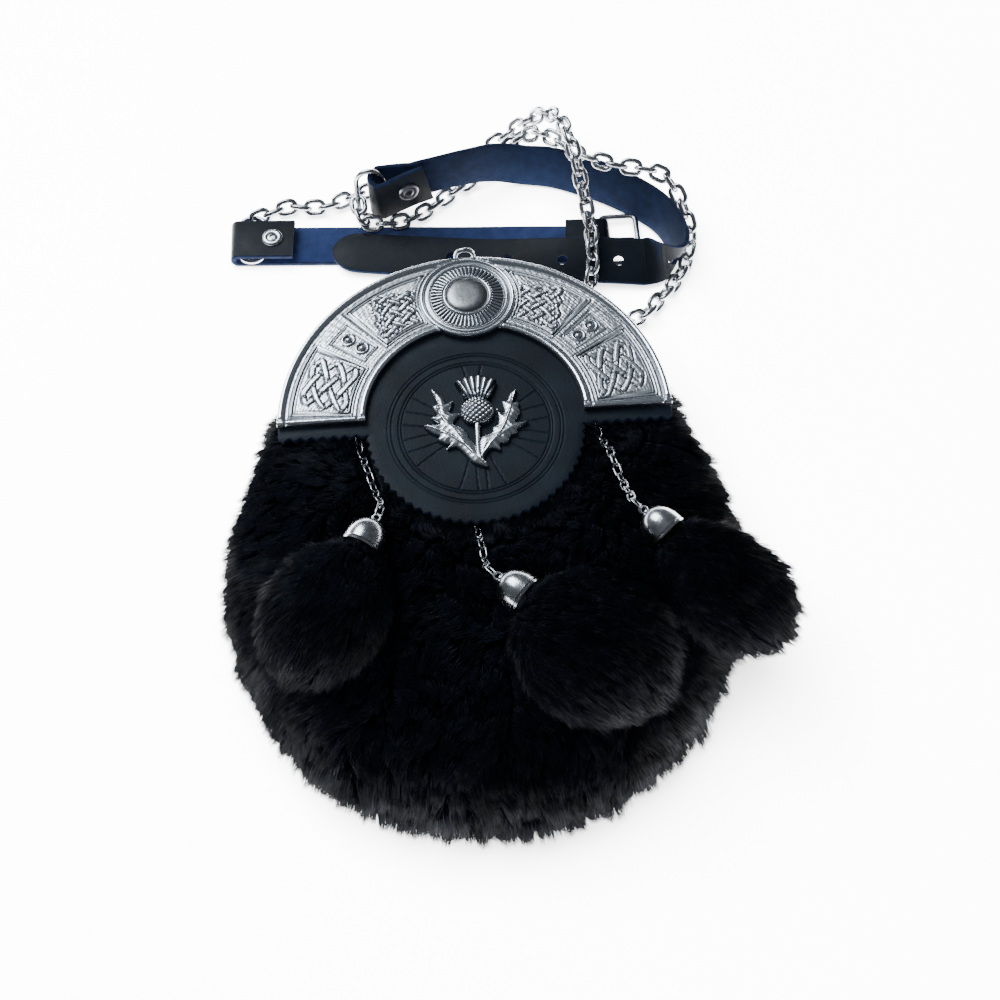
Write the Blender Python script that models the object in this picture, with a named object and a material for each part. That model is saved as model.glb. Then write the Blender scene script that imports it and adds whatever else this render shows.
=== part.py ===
"""A fur sporran pouch with a cast cantle, three tassels and a leather and chain belt.

It lies on its back on the plane z = 0. +Z is up, +Y runs to the top of the pouch and
+X to its right. The origin is the point of the flat back under the centre of the
cantle's arcs.
"""

import math

import bmesh
import bpy
import numpy as np

MM = 0.001

# Gaps and walls
GAP = 0.3 * MM
LEATHER = 2.0 * MM

# Cantle, the metal arch
CANTLE_RADIUS = 75.0 * MM
CANTLE_BAND = 33.5 * MM
CANTLE_INNER = CANTLE_RADIUS - CANTLE_BAND
CANTLE_PLATE = 1.8 * MM
CANTLE_RELIEF = 0.7 * MM
CANTLE_RIM = 3.2 * MM
PANEL_MARGIN = 2.2 * MM
LINE_WIDTH = 1.0 * MM
MEDALLION_RADIUS = 19.0 * MM
MEDALLION_FROM_EDGE = 0.8 * MM
FLUTE_OUTER = 15.5 * MM
FLUTE_INNER = 10.2 * MM
FLUTES = 16
DOME_RADIUS = 9.0 * MM
DOME_RISE = 2.6 * MM
DOT_RADIUS = 2.6 * MM
KNOT_WIDTH = 1.3 * MM

# Pouch
POUCH_LENGTH = 220.0 * MM
POUCH_WIDTH = 175.0 * MM
POUCH_DEPTH = 30.0 * MM
POUCH_TOP_RADIUS = 72.0 * MM
MOUTH_DEPTH = 27.0 * MM
MOUTH_WIDTH = 84.0 * MM

# Fur on the pouch
FUR_SIDE = 10.0 * MM
FUR_FRONT = 11.0 * MM
FUR_FLAT = 3.0 * MM
FUR_EDGE = 16.0 * MM
FUR_CLEAR = 1.3 * MM
FUR_END = 16.0 * MM
LOCK_LENGTH = 9.0 * MM
LOCK_WIDTH = 5.0 * MM
SIDE_LOCKS = 22

# Flap
TONGUE_RADIUS = 41.0 * MM
TONGUE_DROP = 4.0 * MM
FOOT_STRIP = 5.0 * MM
PINK_PITCH = 5.6 * MM
PINK_DEPTH = 1.8 * MM
FOLD_WIDTH = 62.0 * MM

# Thistle badge
THISTLE_HEIGHT = 37.0 * MM
THISTLE_WIDTH = 40.0 * MM
THISTLE_PLATE = 1.2 * MM
GLOBE_WIDTH = 11.5 * MM
CROWN_WIDTH = 16.0 * MM
LEAF_LIFTS = (-0.30 * MM, -0.45 * MM, 0.15 * MM, 0.45 * MM)

# Tassels
CAP_WIDTH = 15.0 * MM
CAP_LENGTH = 12.0 * MM
CAP_KNOB = 1.8 * MM
NECK_WIDTH = 12.0 * MM
TASSEL_CHAIN_WIDTH = 3.2 * MM
TASSEL_LOCK = 7.0 * MM

# Belt straps
STRAP_WIDTH = 20.0 * MM
STRAP_THICK = 2.0 * MM
TIP_LENGTH = 12.0 * MM
HOLE_DIAMETER = 4.5 * MM
HOLE_PITCH = 24.0 * MM
HOLES = 5
FIRST_HOLE = 52.0 * MM
RIVET_DIAMETER = 9.0 * MM
RIVET_HEAD = 1.0 * MM
FOLD_LOOP = 5.2 * MM
FOLD_STEPS = 6

# Rings, buckle and chains
RING_LENGTH = 26.4 * MM
RING_WIDTH = 14.0 * MM
RING_WIRE = 2.2 * MM
RING_SHIFT = 1.6 * MM
RING_LEAN = 80.0
LEG_SHARE = 0.16
BUCKLE_LENGTH = 18.0 * MM
BUCKLE_WIDTH = 28.0 * MM
BUCKLE_CORNER = 2.4 * MM
BUCKLE_WIRE = 2.6 * MM
LINK_LENGTH = 13.0 * MM
LINK_WIDTH = 9.0 * MM
LINK_WIRE = 1.8 * MM
LINK_BITE = 0.8 * MM
LINK_TURN = 45.0
FIRST_TURN = 75.0
LAST_TURN = 6.0
CHAIN_TUBE = 7.2 * MM
LOOP_WIDTH = 10.0 * MM
LOOP_REACH = 8.0 * MM
LOOP_WIRE = 2.0 * MM
LOOP_HEIGHT = 9.0 * MM
LOOP_SHARE = 0.55
LOOP_SIDES = {"right": 1.0, "left": -1.0}
STAPLE_WIDTH = 9.0 * MM
STAPLE_HEIGHT = 8.0 * MM
STAPLE_WIRE = 1.8 * MM

# Pouch outline, right half from the top down. Columns: distance below the top as a
# share of POUCH_LENGTH, half width as a share of half of POUCH_WIDTH.
POUCH_OUTLINE = (
    (0.000, 0.000),
    (0.012, 0.200),
    (0.055, 0.440),
    (0.130, 0.650),
    (0.236, 0.785),
    (0.327, 0.850),
    (0.427, 0.928),
    (0.532, 0.990),
    (0.632, 0.995),
    (0.736, 0.925),
    (0.827, 0.815),
    (0.895, 0.675),
    (0.950, 0.490),
    (0.986, 0.260),
    (1.000, 0.000),
)

# Side profile of the pouch. Columns: height as a share of POUCH_DEPTH, distance in
# from the outline as a share of POUCH_DEPTH.
POUCH_PROFILE = (
    (0.000, 0.060),
    (0.110, 0.000),
    (0.660, 0.000),
    (0.860, 0.080),
    (0.960, 0.240),
    (1.000, 0.520),
)

# Outer surface of the fur. Columns: height as a share of POUCH_DEPTH plus FUR_FRONT,
# distance out from the pouch as a share of FUR_SIDE.
FUR_PROFILE = (
    (0.032, 0.300),
    (0.150, 0.850),
    (0.340, 1.000),
    (0.580, 0.900),
    (0.780, 0.450),
    (0.920, -0.400),
    (0.990, -1.500),
)
FUR_RINGS = (0.78, 0.56, 0.34, 0.14)

# Middles of the free locks on the fur's front. Columns: x, y in millimetres.
FRONT_LOCKS = (
    (-78, -35),
    (-60, -30),
    (-20, -62),
    (78, -28),
    (-25, -120),
    (-48, -128),
    (-10, -138),
    (12, -142),
    (-82, -60),
    (-22, -90),
)

# Tassel body. Columns: distance from the cap as a share of the length, radius as a
# share of half the width.
TASSEL_PROFILE = (
    (0.00, 0.36),
    (0.07, 0.62),
    (0.20, 0.84),
    (0.40, 0.99),
    (0.62, 0.97),
    (0.80, 0.76),
    (0.93, 0.42),
    (1.00, 0.10),
)

# Bell cap. Columns: distance from the top as a share of CAP_LENGTH, radius as a share
# of half of CAP_WIDTH.
CAP_PROFILE = ((0.05, 0.28), (0.25, 0.55), (0.55, 0.88), (0.85, 1.00), (1.00, 0.97))

# Tassels. Columns: name, top of the cap x and y, heading and dip in degrees, length,
# width, thickness, height of the cap's top, where the chain leaves the flap x and y.
TASSELS = (
    ("left", -38.1, -48.3, 242.0, 2.0, 58.0, 47.0, 26.0, 47.5, -44.4, -8.6),
    ("centre", 4.6, -75.5, 318.0, 2.0, 62.0, 58.0, 28.0, 50.0, -1.7, -48.6),
    ("right", 57.7, -53.0, 311.0, 7.0, 58.0, 44.0, 23.0, 50.0, 46.2, -8.6),
)

# Route of the long strap's lower edge, from the round tip round the bend to the ring
# fold. Columns: x, y, z in millimetres, lean of the width from the floor and its
# heading in degrees.
TONGUE_STRAP_ROUTE = (
    (-58.0, 100.0, 3.6, 3.0, 90.0),
    (-38.0, 96.6, 3.5, 3.5, 90.0),
    (-12.0, 93.2, 3.2, 4.5, 90.0),
    (14.0, 89.6, 2.8, 8.0, 90.0),
    (38.0, 86.4, 3.2, 19.2, 90.0),
    (54.0, 84.6, 3.8, 24.0, 90.0),
    (68.0, 83.2, 3.4, 25.0, 90.0),
    (78.0, 82.8, 2.4, 30.0, 85.0),
    (85.5, 86.0, 1.6, 48.0, 60.0),
    (89.0, 94.0, 1.3, 70.0, 30.0),
    (88.6, 103.0, 1.2, 76.0, 20.0),
    (85.0, 111.5, 1.2, 76.0, 45.0),
    (78.0, 119.2, 1.2, 74.0, 70.0),
    (66.6, 128.2, 1.0, 72.0, 80.0),
    (55.0, 135.2, 0.8, 72.0, 88.0),
    (41.0, 141.6, 0.8, 74.0, 90.0),
    (27.0, 144.2, 1.2, 78.0, 90.0),
    (14.0, 143.2, 5.4, 83.0, 90.0),
    (2.0, 139.6, 8.2, 87.0, 90.0),
    (-9.0, 136.4, 9.2, 88.0, 90.0),
    (-19.0, 134.9, 7.8, 88.0, 90.0),
)

# Middle of the long strap's ring fold, and the end of its short layer: x, y, z in
# millimetres, at the lower edge.
TONGUE_FOLD_MIDDLE = (-33.2, 131.4, 4.6)
TONGUE_FOLD_END = ((-21.0, 130.0, 7.4), (-11.5, 132.0, 9.4))

# Route of the short strap's middle line, from the ring fold to the buckle fold.
# Columns: x, y in millimetres.
BUCKLE_STRAP_ROUTE = (
    (-97.0, 117.3),
    (-60.0, 115.0),
    (-30.0, 113.0),
    (0.0, 110.8),
    (30.0, 109.0),
    (60.5, 106.8),
)
RING_FOLD_LENGTH = 24.0 * MM
BUCKLE_FOLD_LENGTH = 16.0 * MM

# Routes of the two belt chains' middle lines between the pouch's loops and the strap
# rings. Columns: x, y, z in millimetres.
CHAIN_RIGHT_ROUTE = (
    (68.5, 62.5, 5.4),
    (76.0, 67.5, 4.0),
    (80.4, 73.0, 3.8),
    (86.0, 78.5, 3.8),
    (92.0, 86.5, 3.8),
    (96.3, 95.5, 4.4),
    (98.4, 106.0, 8.0),
    (95.0, 117.0, 15.0),
    (88.6, 124.8, 22.8),
    (79.0, 127.5, 25.2),
    (70.0, 129.5, 25.4),
    (60.0, 133.5, 25.5),
    (50.0, 139.0, 25.6),
    (41.0, 147.0, 26.8),
    (32.0, 154.6, 21.4),
    (22.0, 155.0, 12.5),
    (12.0, 150.0, 5.6),
    (3.0, 143.5, 3.7),
    (-5.0, 137.5, 3.6),
    (-13.0, 131.0, 3.6),
    (-20.0, 125.5, 4.6),
    (-27.5, 121.2, 6.8),
    (-35.5, 120.0, 8.0),
    (-42.5, 121.0, 8.6),
)
CHAIN_LEFT_ROUTE = (
    (-52.0, 71.5, 4.2),
    (-40.0, 77.5, 4.2),
    (-18.0, 83.0, 4.0),
    (6.0, 83.0, 4.0),
    (26.0, 79.0, 4.0),
    (42.0, 74.0, 4.6),
    (50.5, 76.0, 7.0),
    (53.5, 84.0, 10.2),
    (54.6, 94.0, 14.0),
    (54.6, 104.0, 17.0),
    (53.4, 114.0, 20.0),
    (51.5, 123.0, 27.0),
    (49.5, 131.0, 33.0),
    (47.5, 139.0, 36.2),
    (44.5, 149.0, 35.2),
    (39.5, 160.0, 28.0),
    (31.0, 164.5, 18.0),
    (20.0, 164.5, 8.5),
    (8.0, 158.5, 4.4),
    (-6.0, 150.0, 4.0),
    (-20.0, 145.5, 4.0),
    (-34.0, 144.0, 4.0),
    (-46.0, 140.5, 4.0),
    (-56.0, 135.5, 4.0),
    (-66.0, 134.5, 4.0),
    (-75.0, 136.0, 4.0),
)

# Panels of the cantle's right half, in degrees up from the foot
FOOT_PANEL = (4.0, 31.0)
DOT_PANEL = (34.0, 43.0)
UPPER_PANEL = (46.0, 70.0)

# Heights of the stack, from the back up
POUCH_TOP = POUCH_DEPTH
FLAP_BOTTOM = POUCH_TOP + GAP + FUR_FLAT + GAP
FLAP_TOP = FLAP_BOTTOM + LEATHER
CANTLE_BOTTOM = FLAP_TOP + GAP
FUR_TOP = POUCH_TOP + FUR_FRONT
MOUTH_Y = POUCH_TOP_RADIUS - MOUTH_DEPTH
POUCH_MIDDLE_Y = POUCH_TOP_RADIUS - POUCH_LENGTH / 2
MEDALLION_Y = CANTLE_RADIUS - MEDALLION_RADIUS - MEDALLION_FROM_EDGE
Z_AXIS = np.array((0.0, 0.0, 1.0))


def clear_scene():
    for obj in list(bpy.data.objects):
        bpy.data.objects.remove(obj, do_unlink=True)


def make_material(name, colour, roughness, metallic):
    material = bpy.data.materials.new(name)
    material.use_nodes = True
    shader = material.node_tree.nodes["Principled BSDF"]
    shader.inputs["Base Color"].default_value = (*colour, 1.0)
    shader.inputs["Roughness"].default_value = roughness
    shader.inputs["Metallic"].default_value = metallic
    return material


def is_flat(face):
    """Whether the face's corners all lie in its plane."""
    middle = face.calc_center_median()
    return all(abs((corner.co - middle).dot(face.normal)) < 2e-7 for corner in face.verts)


def mesh_object(name, points, faces, material=None):
    """A linked mesh object with its faces turned outwards."""
    mesh = bpy.data.meshes.new(name)
    mesh.from_pydata([tuple(point) for point in points], [], faces)
    shape = bmesh.new()
    shape.from_mesh(mesh)
    bmesh.ops.recalc_face_normals(shape, faces=shape.faces)
    uneven = [face for face in shape.faces if not is_flat(face)]
    bmesh.ops.triangulate(shape, faces=uneven)
    shape.to_mesh(mesh)
    shape.free()
    obj = bpy.data.objects.new(name, mesh)
    bpy.context.scene.collection.objects.link(obj)
    if material:
        mesh.materials.append(material)
    return obj


def joined(name, shapes):
    """One mesh object from (points, faces) pairs that don't touch each other."""
    points, faces = [], []
    for shape_points, shape_faces in shapes:
        start = len(points)
        points.extend(shape_points)
        faces.extend([tuple(start + i for i in face) for face in shape_faces])
    return mesh_object(name, points, faces)


def apply_boolean(target, other, operation):
    """Runs an exact Boolean on the target's mesh and removes the other object."""
    modifier = target.modifiers.new(operation, "BOOLEAN")
    modifier.operation = operation
    modifier.solver = "EXACT"
    modifier.object = other
    graph = bpy.context.evaluated_depsgraph_get()
    result = bpy.data.meshes.new_from_object(target.evaluated_get(graph))
    shape = bmesh.new()
    shape.from_mesh(result)
    uneven = [face for face in shape.faces if not is_flat(face)]
    bmesh.ops.triangulate(shape, faces=uneven)
    shape.to_mesh(result)
    shape.free()
    target.modifiers.clear()
    old = target.data
    target.data = result
    bpy.data.meshes.remove(old)
    bpy.data.objects.remove(other, do_unlink=True)


def fuse(target, *others):
    for other in others:
        apply_boolean(target, other, "UNION")


def cut(target, *others):
    for other in others:
        apply_boolean(target, other, "DIFFERENCE")


def keep_largest(obj):
    """Drops loose crumbs that a cut left beside the main body."""
    shape = bmesh.new()
    shape.from_mesh(obj.data)
    left = set(shape.verts)
    bodies = []
    while left:
        body, edge = set(), [left.pop()]
        while edge:
            vertex = edge.pop()
            body.add(vertex)
            near = {link.other_vert(vertex) for link in vertex.link_edges} & left
            left -= near
            edge.extend(near)
        bodies.append(body)
    bodies.sort(key=len)
    crumbs = [vertex for body in bodies[:-1] for vertex in body]
    bmesh.ops.delete(shape, geom=crumbs, context="VERTS")
    shape.to_mesh(obj.data)
    shape.free()


def finish(obj, material, smooth_angle=35.0):
    """Gives the object its one material and smooth shading."""
    obj.data.materials.clear()
    obj.data.materials.append(material)
    obj.data.shade_smooth()
    obj.data.set_sharp_from_angle(angle=math.radians(smooth_angle))


def unit(vector):
    return vector / np.linalg.norm(vector)


def smooth_step(share):
    share = np.clip(share, 0.0, 1.0)
    return share * share * (3.0 - 2.0 * share)


def rounded(points, steps, closed=False):
    """A Catmull-Rom curve through the points, with this many steps to each span."""
    points = np.asarray(points, float)
    count = len(points)
    spans = count if closed else count - 1
    out = []
    for i in range(spans):
        if closed:
            a, b, c, d = (points[(i + k) % count] for k in (-1, 0, 1, 2))
        else:
            b, c = points[i], points[i + 1]
            a = points[i - 1] if i else 2 * b - c
            d = points[i + 2] if i + 2 < count else 2 * c - b
        for step in range(steps):
            t = step / steps
            out.append(
                0.5
                * (
                    2 * b
                    + (c - a) * t
                    + (2 * a - 5 * b + 4 * c - d) * t**2
                    + (3 * b - a - 3 * c + d) * t**3
                )
            )
    if not closed:
        out.append(points[-1])
    return np.array(out)


def ring_faces(rings, count, closed=False):
    """Side faces of a stack of rings, with end caps unless the stack is closed."""
    faces = []
    for i in range(rings if closed else rings - 1):
        here, there = i * count, (i + 1) % rings * count
        for j in range(count):
            k = (j + 1) % count
            faces.append((here + j, here + k, there + k, there + j))
    if not closed:
        faces.append(tuple(range(count)))
        faces.append(tuple((rings - 1) * count + j for j in range(count)))
    return faces


def stack(rings):
    """(points, faces) of a closed loft through rings of equal length."""
    points = np.concatenate(rings)
    return points, ring_faces(len(rings), len(rings[0]))


def prism(outline, low, high):
    """(points, faces) of a flat outline extruded between two heights."""
    flat = np.asarray(outline, float)[:, :2]
    rings = [np.column_stack([flat, np.full(len(flat), z)]) for z in (low, high)]
    return stack(rings)


def swept(path, radius, sides, closed=False, up=Z_AXIS):
    """(points, faces) of a round wire along a path."""
    path = np.asarray(path, float)
    count = len(path)
    rings = []
    for i, point in enumerate(path):
        before = path[(i - 1) % count] if closed or i else point
        after = path[(i + 1) % count] if closed or i + 1 < count else point
        along = unit(after - before)
        side = unit(np.cross(up, along))
        rise = np.cross(along, side)
        angles = 2 * math.pi * (np.arange(sides) + 0.5) / sides
        rings.append(
            point
            + radius * (np.cos(angles)[:, None] * side + np.sin(angles)[:, None] * rise)
        )
    return np.concatenate(rings), ring_faces(count, sides, closed)


def box(low, high):
    corners = ((low[0], low[1]), (high[0], low[1]), (high[0], high[1]), (low[0], high[1]))
    return prism(corners, low[2], high[2])


def turned(profile, origin, axis, sides):
    """(points, faces) of a (distance, radius) profile turned about an axis."""
    side = unit(np.cross(axis, (0.31, 0.17, 0.93)))
    rise = np.cross(axis, side)
    angles = 2 * math.pi * np.arange(sides) / sides
    circle = np.cos(angles)[:, None] * side + np.sin(angles)[:, None] * rise
    return stack([origin + axis * along + circle * radius for along, radius in profile])


def arc(radius, start, end, steps, centre=(0.0, 0.0)):
    angles = np.radians(np.linspace(start, end, steps + 1))
    return np.column_stack(
        [centre[0] + radius * np.cos(angles), centre[1] + radius * np.sin(angles)]
    )


def sector(inner, outer, start, end, steps):
    return np.concatenate([arc(outer, start, end, steps), arc(inner, end, start, steps)])


# The pouch


def pouch_outline():
    """The pouch's outline from the top, clockwise, as (n, 2) points."""
    half = np.array(POUCH_OUTLINE) * (POUCH_LENGTH, POUCH_WIDTH / 2)
    right = np.column_stack([half[:, 1], POUCH_TOP_RADIUS - half[:, 0]])
    left = right[-2:0:-1] * (-1.0, 1.0)
    return np.concatenate([right, left])


def outward(outline):
    """The outline's unit normals in its plane."""
    along = np.roll(outline, -1, axis=0) - np.roll(outline, 1, axis=0)
    normals = np.column_stack([along[:, 1], -along[:, 0]])
    normals /= np.linalg.norm(normals, axis=1)[:, None]
    middle = np.array((0.0, POUCH_MIDDLE_Y))
    turn = np.sign(np.sum(normals * (outline - middle)))
    return normals * turn


def pouch_solid(grow, straight_down=False):
    """The pouch's outer form, moved out or in by this much on every side.

    With straight_down its side goes straight on below the back, as a cutter's does.
    """
    outline = pouch_outline()
    normals = outward(outline)
    rings = []
    profile = POUCH_PROFILE
    if straight_down:
        profile = [(-1.0, 0.0)] + [row for row in profile if row[0] > 0.1]
    for share, inset in profile:
        height = share * POUCH_DEPTH + grow * min(max(2.0 * share - 1.0, -1.0), 1.0)
        flat = outline + normals * (grow - inset * POUCH_DEPTH)
        rings.append(np.column_stack([flat, np.full(len(flat), height)]))
    return stack(rings)


def make_pouch(material):
    pouch = mesh_object("pouch_shell", *pouch_solid(0.0))
    hollow = mesh_object("hollow", *pouch_solid(-LEATHER))
    half, far = MOUTH_WIDTH / 2, POUCH_WIDTH
    mouth = mesh_object(
        "mouth", *box((-half, MOUTH_Y, LEATHER), (half, far, 2 * POUCH_DEPTH))
    )
    cut(pouch, hollow, mouth)
    finish(pouch, material)
    return pouch


# The flap


def zigzag(points):
    """Pinked points along a line: teeth of one pitch between its two ends."""
    points = np.asarray(points, float)
    steps = np.linalg.norm(np.diff(points, axis=0), axis=1)
    along = np.concatenate([[0.0], np.cumsum(steps)])
    teeth = max(2, round(along[-1] / PINK_PITCH))
    out = []
    for i in range(2 * teeth + 1):
        place = along[-1] * i / (2 * teeth)
        point = np.array([np.interp(place, along, points[:, k]) for k in (0, 1)])
        ahead = np.array(
            [np.interp(place + MM, along, points[:, k]) for k in (0, 1)]
        ) - np.array([np.interp(place - MM, along, points[:, k]) for k in (0, 1)])
        normal = unit(np.array((ahead[1], -ahead[0])))
        out.append(point + normal * (PINK_DEPTH / 2 if i % 2 else -PINK_DEPTH / 2))
    return np.array(out)


def flap_outline(grow=0.0, pinked=True):
    """The flap's outline: the arch, the strips under its feet and the round tongue."""
    edge = CANTLE_RADIUS - GAP + grow
    low = FOOT_STRIP + grow
    radius = TONGUE_RADIUS + grow
    meet = math.degrees(math.asin((TONGUE_DROP - low) / radius))
    half = radius * math.cos(math.radians(meet))
    tongue = arc(radius, 180.0 - meet, 360.0 + meet, 40, (0.0, -TONGUE_DROP))
    strips = (np.array(((-edge, -low), (-half, -low))), np.array(((half, -low), (edge, -low))))
    if pinked:
        lower = [zigzag(strips[0])[:-1], zigzag(tongue), zigzag(strips[1])[1:]]
    else:
        lower = [strips[0][:-1], tongue, strips[1][1:]]
    return np.concatenate([arc(edge, 0.0, 180.0, 32), *lower])


def make_flap(material):
    """The flap's plate with the strip that folds over the mouth to the back."""
    flap = mesh_object("flap", *prism(flap_outline(), FLAP_BOTTOM, FLAP_TOP))
    half = FOLD_WIDTH / 2
    outer = math.sqrt(POUCH_TOP_RADIUS**2 - half**2) - GAP
    low = (-half, outer - LEATHER, LEATHER + GAP)
    fold = mesh_object("fold", *box(low, (half, outer, (FLAP_BOTTOM + FLAP_TOP) / 2)))
    fuse(flap, fold)
    finish(flap, material)
    return flap


# The cantle


def medallion_circle(radius, steps=24):
    return arc(radius, 0.0, 360.0 - 360.0 / steps, steps - 1, (0.0, MEDALLION_Y))


def ring_prism(outer, inner, low, high):
    """(points, faces) of a ring between two outlines of equal length."""
    count = len(outer)
    rings = []
    for flat, z in ((outer, low), (outer, high), (inner, high), (inner, low)):
        rings.append(np.column_stack([flat, np.full(count, z)]))
    return np.concatenate(rings), ring_faces(4, count, closed=True)


def mirrored(shape):
    points = np.array(shape[0]) * (-1.0, 1.0, 1.0)
    return points, [tuple(reversed(face)) for face in shape[1]]


def panel_border(start, end, inner, outer, low, high):
    """A raised line round a panel of the band."""
    margin = math.degrees(LINE_WIDTH / outer)
    steps = max(3, round((end - start) / 7.0))
    outside = sector(inner, outer, start, end, steps)
    inside = sector(inner + LINE_WIDTH, outer - LINE_WIDTH, start + margin, end - margin, steps)
    return ring_prism(outside, inside, low, high)


def knot(start, end, low, high, turns):
    """A plaited band of the foot or upper panel: a closed wave with crossing loops."""
    middle = (CANTLE_RADIUS + CANTLE_INNER) / 2
    reach = (CANTLE_RADIUS - CANTLE_INNER) / 2 - CANTLE_RIM - PANEL_MARGIN - LINE_WIDTH
    centre, half = (start + end) / 2, (end - start) / 2
    steps = 16
    out, inside = [], []
    for i in range(steps):
        t = 2 * math.pi * i / steps
        wide = 1.0 - 0.28 * math.cos(turns * t)
        radius = reach * 0.80 * wide * math.sin(t)
        turn = half * 0.66 * wide * math.cos(t)
        for points, width in ((out, KNOT_WIDTH / 2), (inside, -KNOT_WIDTH / 2)):
            grown = 1.0 + width / (reach * 0.75)
            angle = math.radians(centre + turn * grown)
            place = middle + radius * grown
            points.append((place * math.cos(angle), place * math.sin(angle)))
    return ring_prism(np.array(out), np.array(inside), low, high)


def cantle_relief():
    """Every raised line, dot, knot and flute of the cantle, none touching another."""
    low = CANTLE_BOTTOM + CANTLE_PLATE / 2
    line = CANTLE_BOTTOM + CANTLE_PLATE + CANTLE_RELIEF
    inner, outer = CANTLE_INNER + CANTLE_RIM, CANTLE_RADIUS - CANTLE_RIM
    right = []
    for start, end in (FOOT_PANEL, UPPER_PANEL):
        right.append(panel_border(start, end, inner + LINE_WIDTH, outer - LINE_WIDTH, low, line))
        right.append(knot(start, end, low, line, 4))
    middle, reach = (inner + outer) / 2, (outer - inner) / 2
    right.append(panel_border(*DOT_PANEL, middle - 0.6 * reach, middle + 0.6 * reach, low, line))
    turn = math.radians(sum(DOT_PANEL) / 2)
    for offset in (-0.27, 0.27):
        place = middle + offset * reach
        spot = (place * math.cos(turn), place * math.sin(turn))
        right.append(prism(arc(DOT_RADIUS, 0.0, 324.0, 9, spot), low, line))
    shapes = right + [mirrored(shape) for shape in right]
    for i in range(FLUTES):
        centre, half = 360.0 * i / FLUTES, 90.0 / FLUTES
        wedge = sector(FLUTE_INNER, FLUTE_OUTER, centre - half, centre + half, 1)
        shapes.append(prism(wedge + (0.0, MEDALLION_Y), low, line))
    return shapes


def make_cantle(material):
    """The cast arch: plate, rim, panels, medallion and dome in one solid."""
    low, plate = CANTLE_BOTTOM, CANTLE_BOTTOM + CANTLE_PLATE
    top = plate + 1.5 * CANTLE_RELIEF
    band = sector(CANTLE_INNER, CANTLE_RADIUS, 0.0, 180.0, 26)
    cantle = mesh_object("cantle", *prism(band, low, plate))
    disc = mesh_object("disc", *prism(medallion_circle(MEDALLION_RADIUS), low, plate))
    foot = math.degrees(CANTLE_RIM / CANTLE_RADIUS)
    inside = sector(
        CANTLE_INNER + CANTLE_RIM / 2, CANTLE_RADIUS - CANTLE_RIM / 1.6, foot, 180.0 - foot, 26
    )
    rim = mesh_object("rim", *ring_prism(band, inside, (low + plate) / 2, top))
    edge = mesh_object(
        "edge",
        *ring_prism(
            medallion_circle(MEDALLION_RADIUS - 0.2 * MM),
            medallion_circle(FLUTE_OUTER + LINE_WIDTH),
            (low + plate) / 2,
            top - 0.2 * MM,
        ),
    )
    origin = np.array((0.0, MEDALLION_Y, plate - 0.4 * MM))
    shares = ((0.0, 1.0), (0.45, 0.93), (0.75, 0.72), (0.93, 0.42), (1.0, 0.12))
    rise = DOME_RISE + 0.4 * MM
    profile = [(share * rise, radius * DOME_RADIUS) for share, radius in shares]
    dome = mesh_object("dome", *turned(profile, origin, Z_AXIS, 16))
    fuse(cantle, disc, rim, edge, dome, joined("relief", cantle_relief()))
    finish(cantle, material, 25.0)
    return cantle


# The thistle


def leaf(root, tip, bow, width, lobes):
    """Outline of a toothed leaf from its root to its tip, bowed to one side."""
    root, tip = np.array(root), np.array(tip)
    across = np.array((tip[1] - root[1], root[0] - tip[0]))
    steps = 2 * lobes
    sides = {1.0: [], -1.0: []}
    for i in range(1, steps):
        t = i / steps
        spine = root + (tip - root) * t + across * bow * 4 * t * (1 - t)
        half = width * (1.0 - t) ** 0.6 * (1.0 if i % 2 else 0.55)
        for side, points in sides.items():
            points.append(spine + unit(across) * side * half + (tip - root) * 0.06 * (i % 2))
    return np.array([root, *sides[1.0], tip, *reversed(sides[-1.0])])


def make_thistle(material):
    """The badge: fluted crown, globe, stem and two pairs of toothed leaves."""
    low = FLAP_TOP + GAP
    high = low + THISTLE_PLATE
    top = THISTLE_HEIGHT * 0.405
    neck = THISTLE_HEIGHT * 0.20
    wide, slim = CROWN_WIDTH / 2, GLOBE_WIDTH * 0.36
    rays = 7
    rim = [(wide * (1 - 2 * i / rays), top - (i % 2) * MM) for i in range(rays + 1)]
    cup = [(slim, neck - MM), *rim, (-slim, neck - MM)]
    crown = mesh_object("thistle_badge", *prism(cup, low, high))
    globe_origin = np.array((0.0, THISTLE_HEIGHT * 0.03, low))
    half = GLOBE_WIDTH / 2
    shares = ((0.0, 1.0), (0.35, 0.95), (0.7, 0.6), (0.8, 0.2))
    profile = [(share * half, radius * half) for share, radius in shares]
    globe = mesh_object("globe", *turned(profile, globe_origin, Z_AXIS, 14))
    reach = THISTLE_WIDTH / 2
    foot = np.array((0.10 * THISTLE_WIDTH, -0.60 * THISTLE_HEIGHT))
    half_stem = 1.6 * MM
    stem = [(-half_stem, 0.0), (half_stem, 0.0), foot + (MM, 0.0), foot + (-1.5 * MM, MM)]
    stalk = mesh_object("stalk", *prism(stem, low, high + 0.3 * MM))
    fuse(crown, globe, stalk)
    leaves = (
        ((-0.02, -0.38), (-0.82, 0.35), 0.10, 0.17, 5),
        ((0.02, -0.38), (0.82, 0.31), -0.10, 0.17, 5),
        ((0.00, -0.47), (-0.98, -0.09), -0.04, 0.16, 5),
        ((0.00, -0.47), (1.00, -0.09), 0.04, 0.16, 5),
    )
    for (root, tip, bow, width, lobes), lift in zip(leaves, LEAF_LIFTS):
        scale = np.array((reach, THISTLE_HEIGHT))
        outline = leaf(np.array(root) * scale, np.array(tip) * scale, bow, width * reach, lobes)
        fuse(crown, mesh_object("leaf", *prism(outline, low, high + lift)))
    finish(crown, material, 25.0)
    return crown


# Tassels


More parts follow.
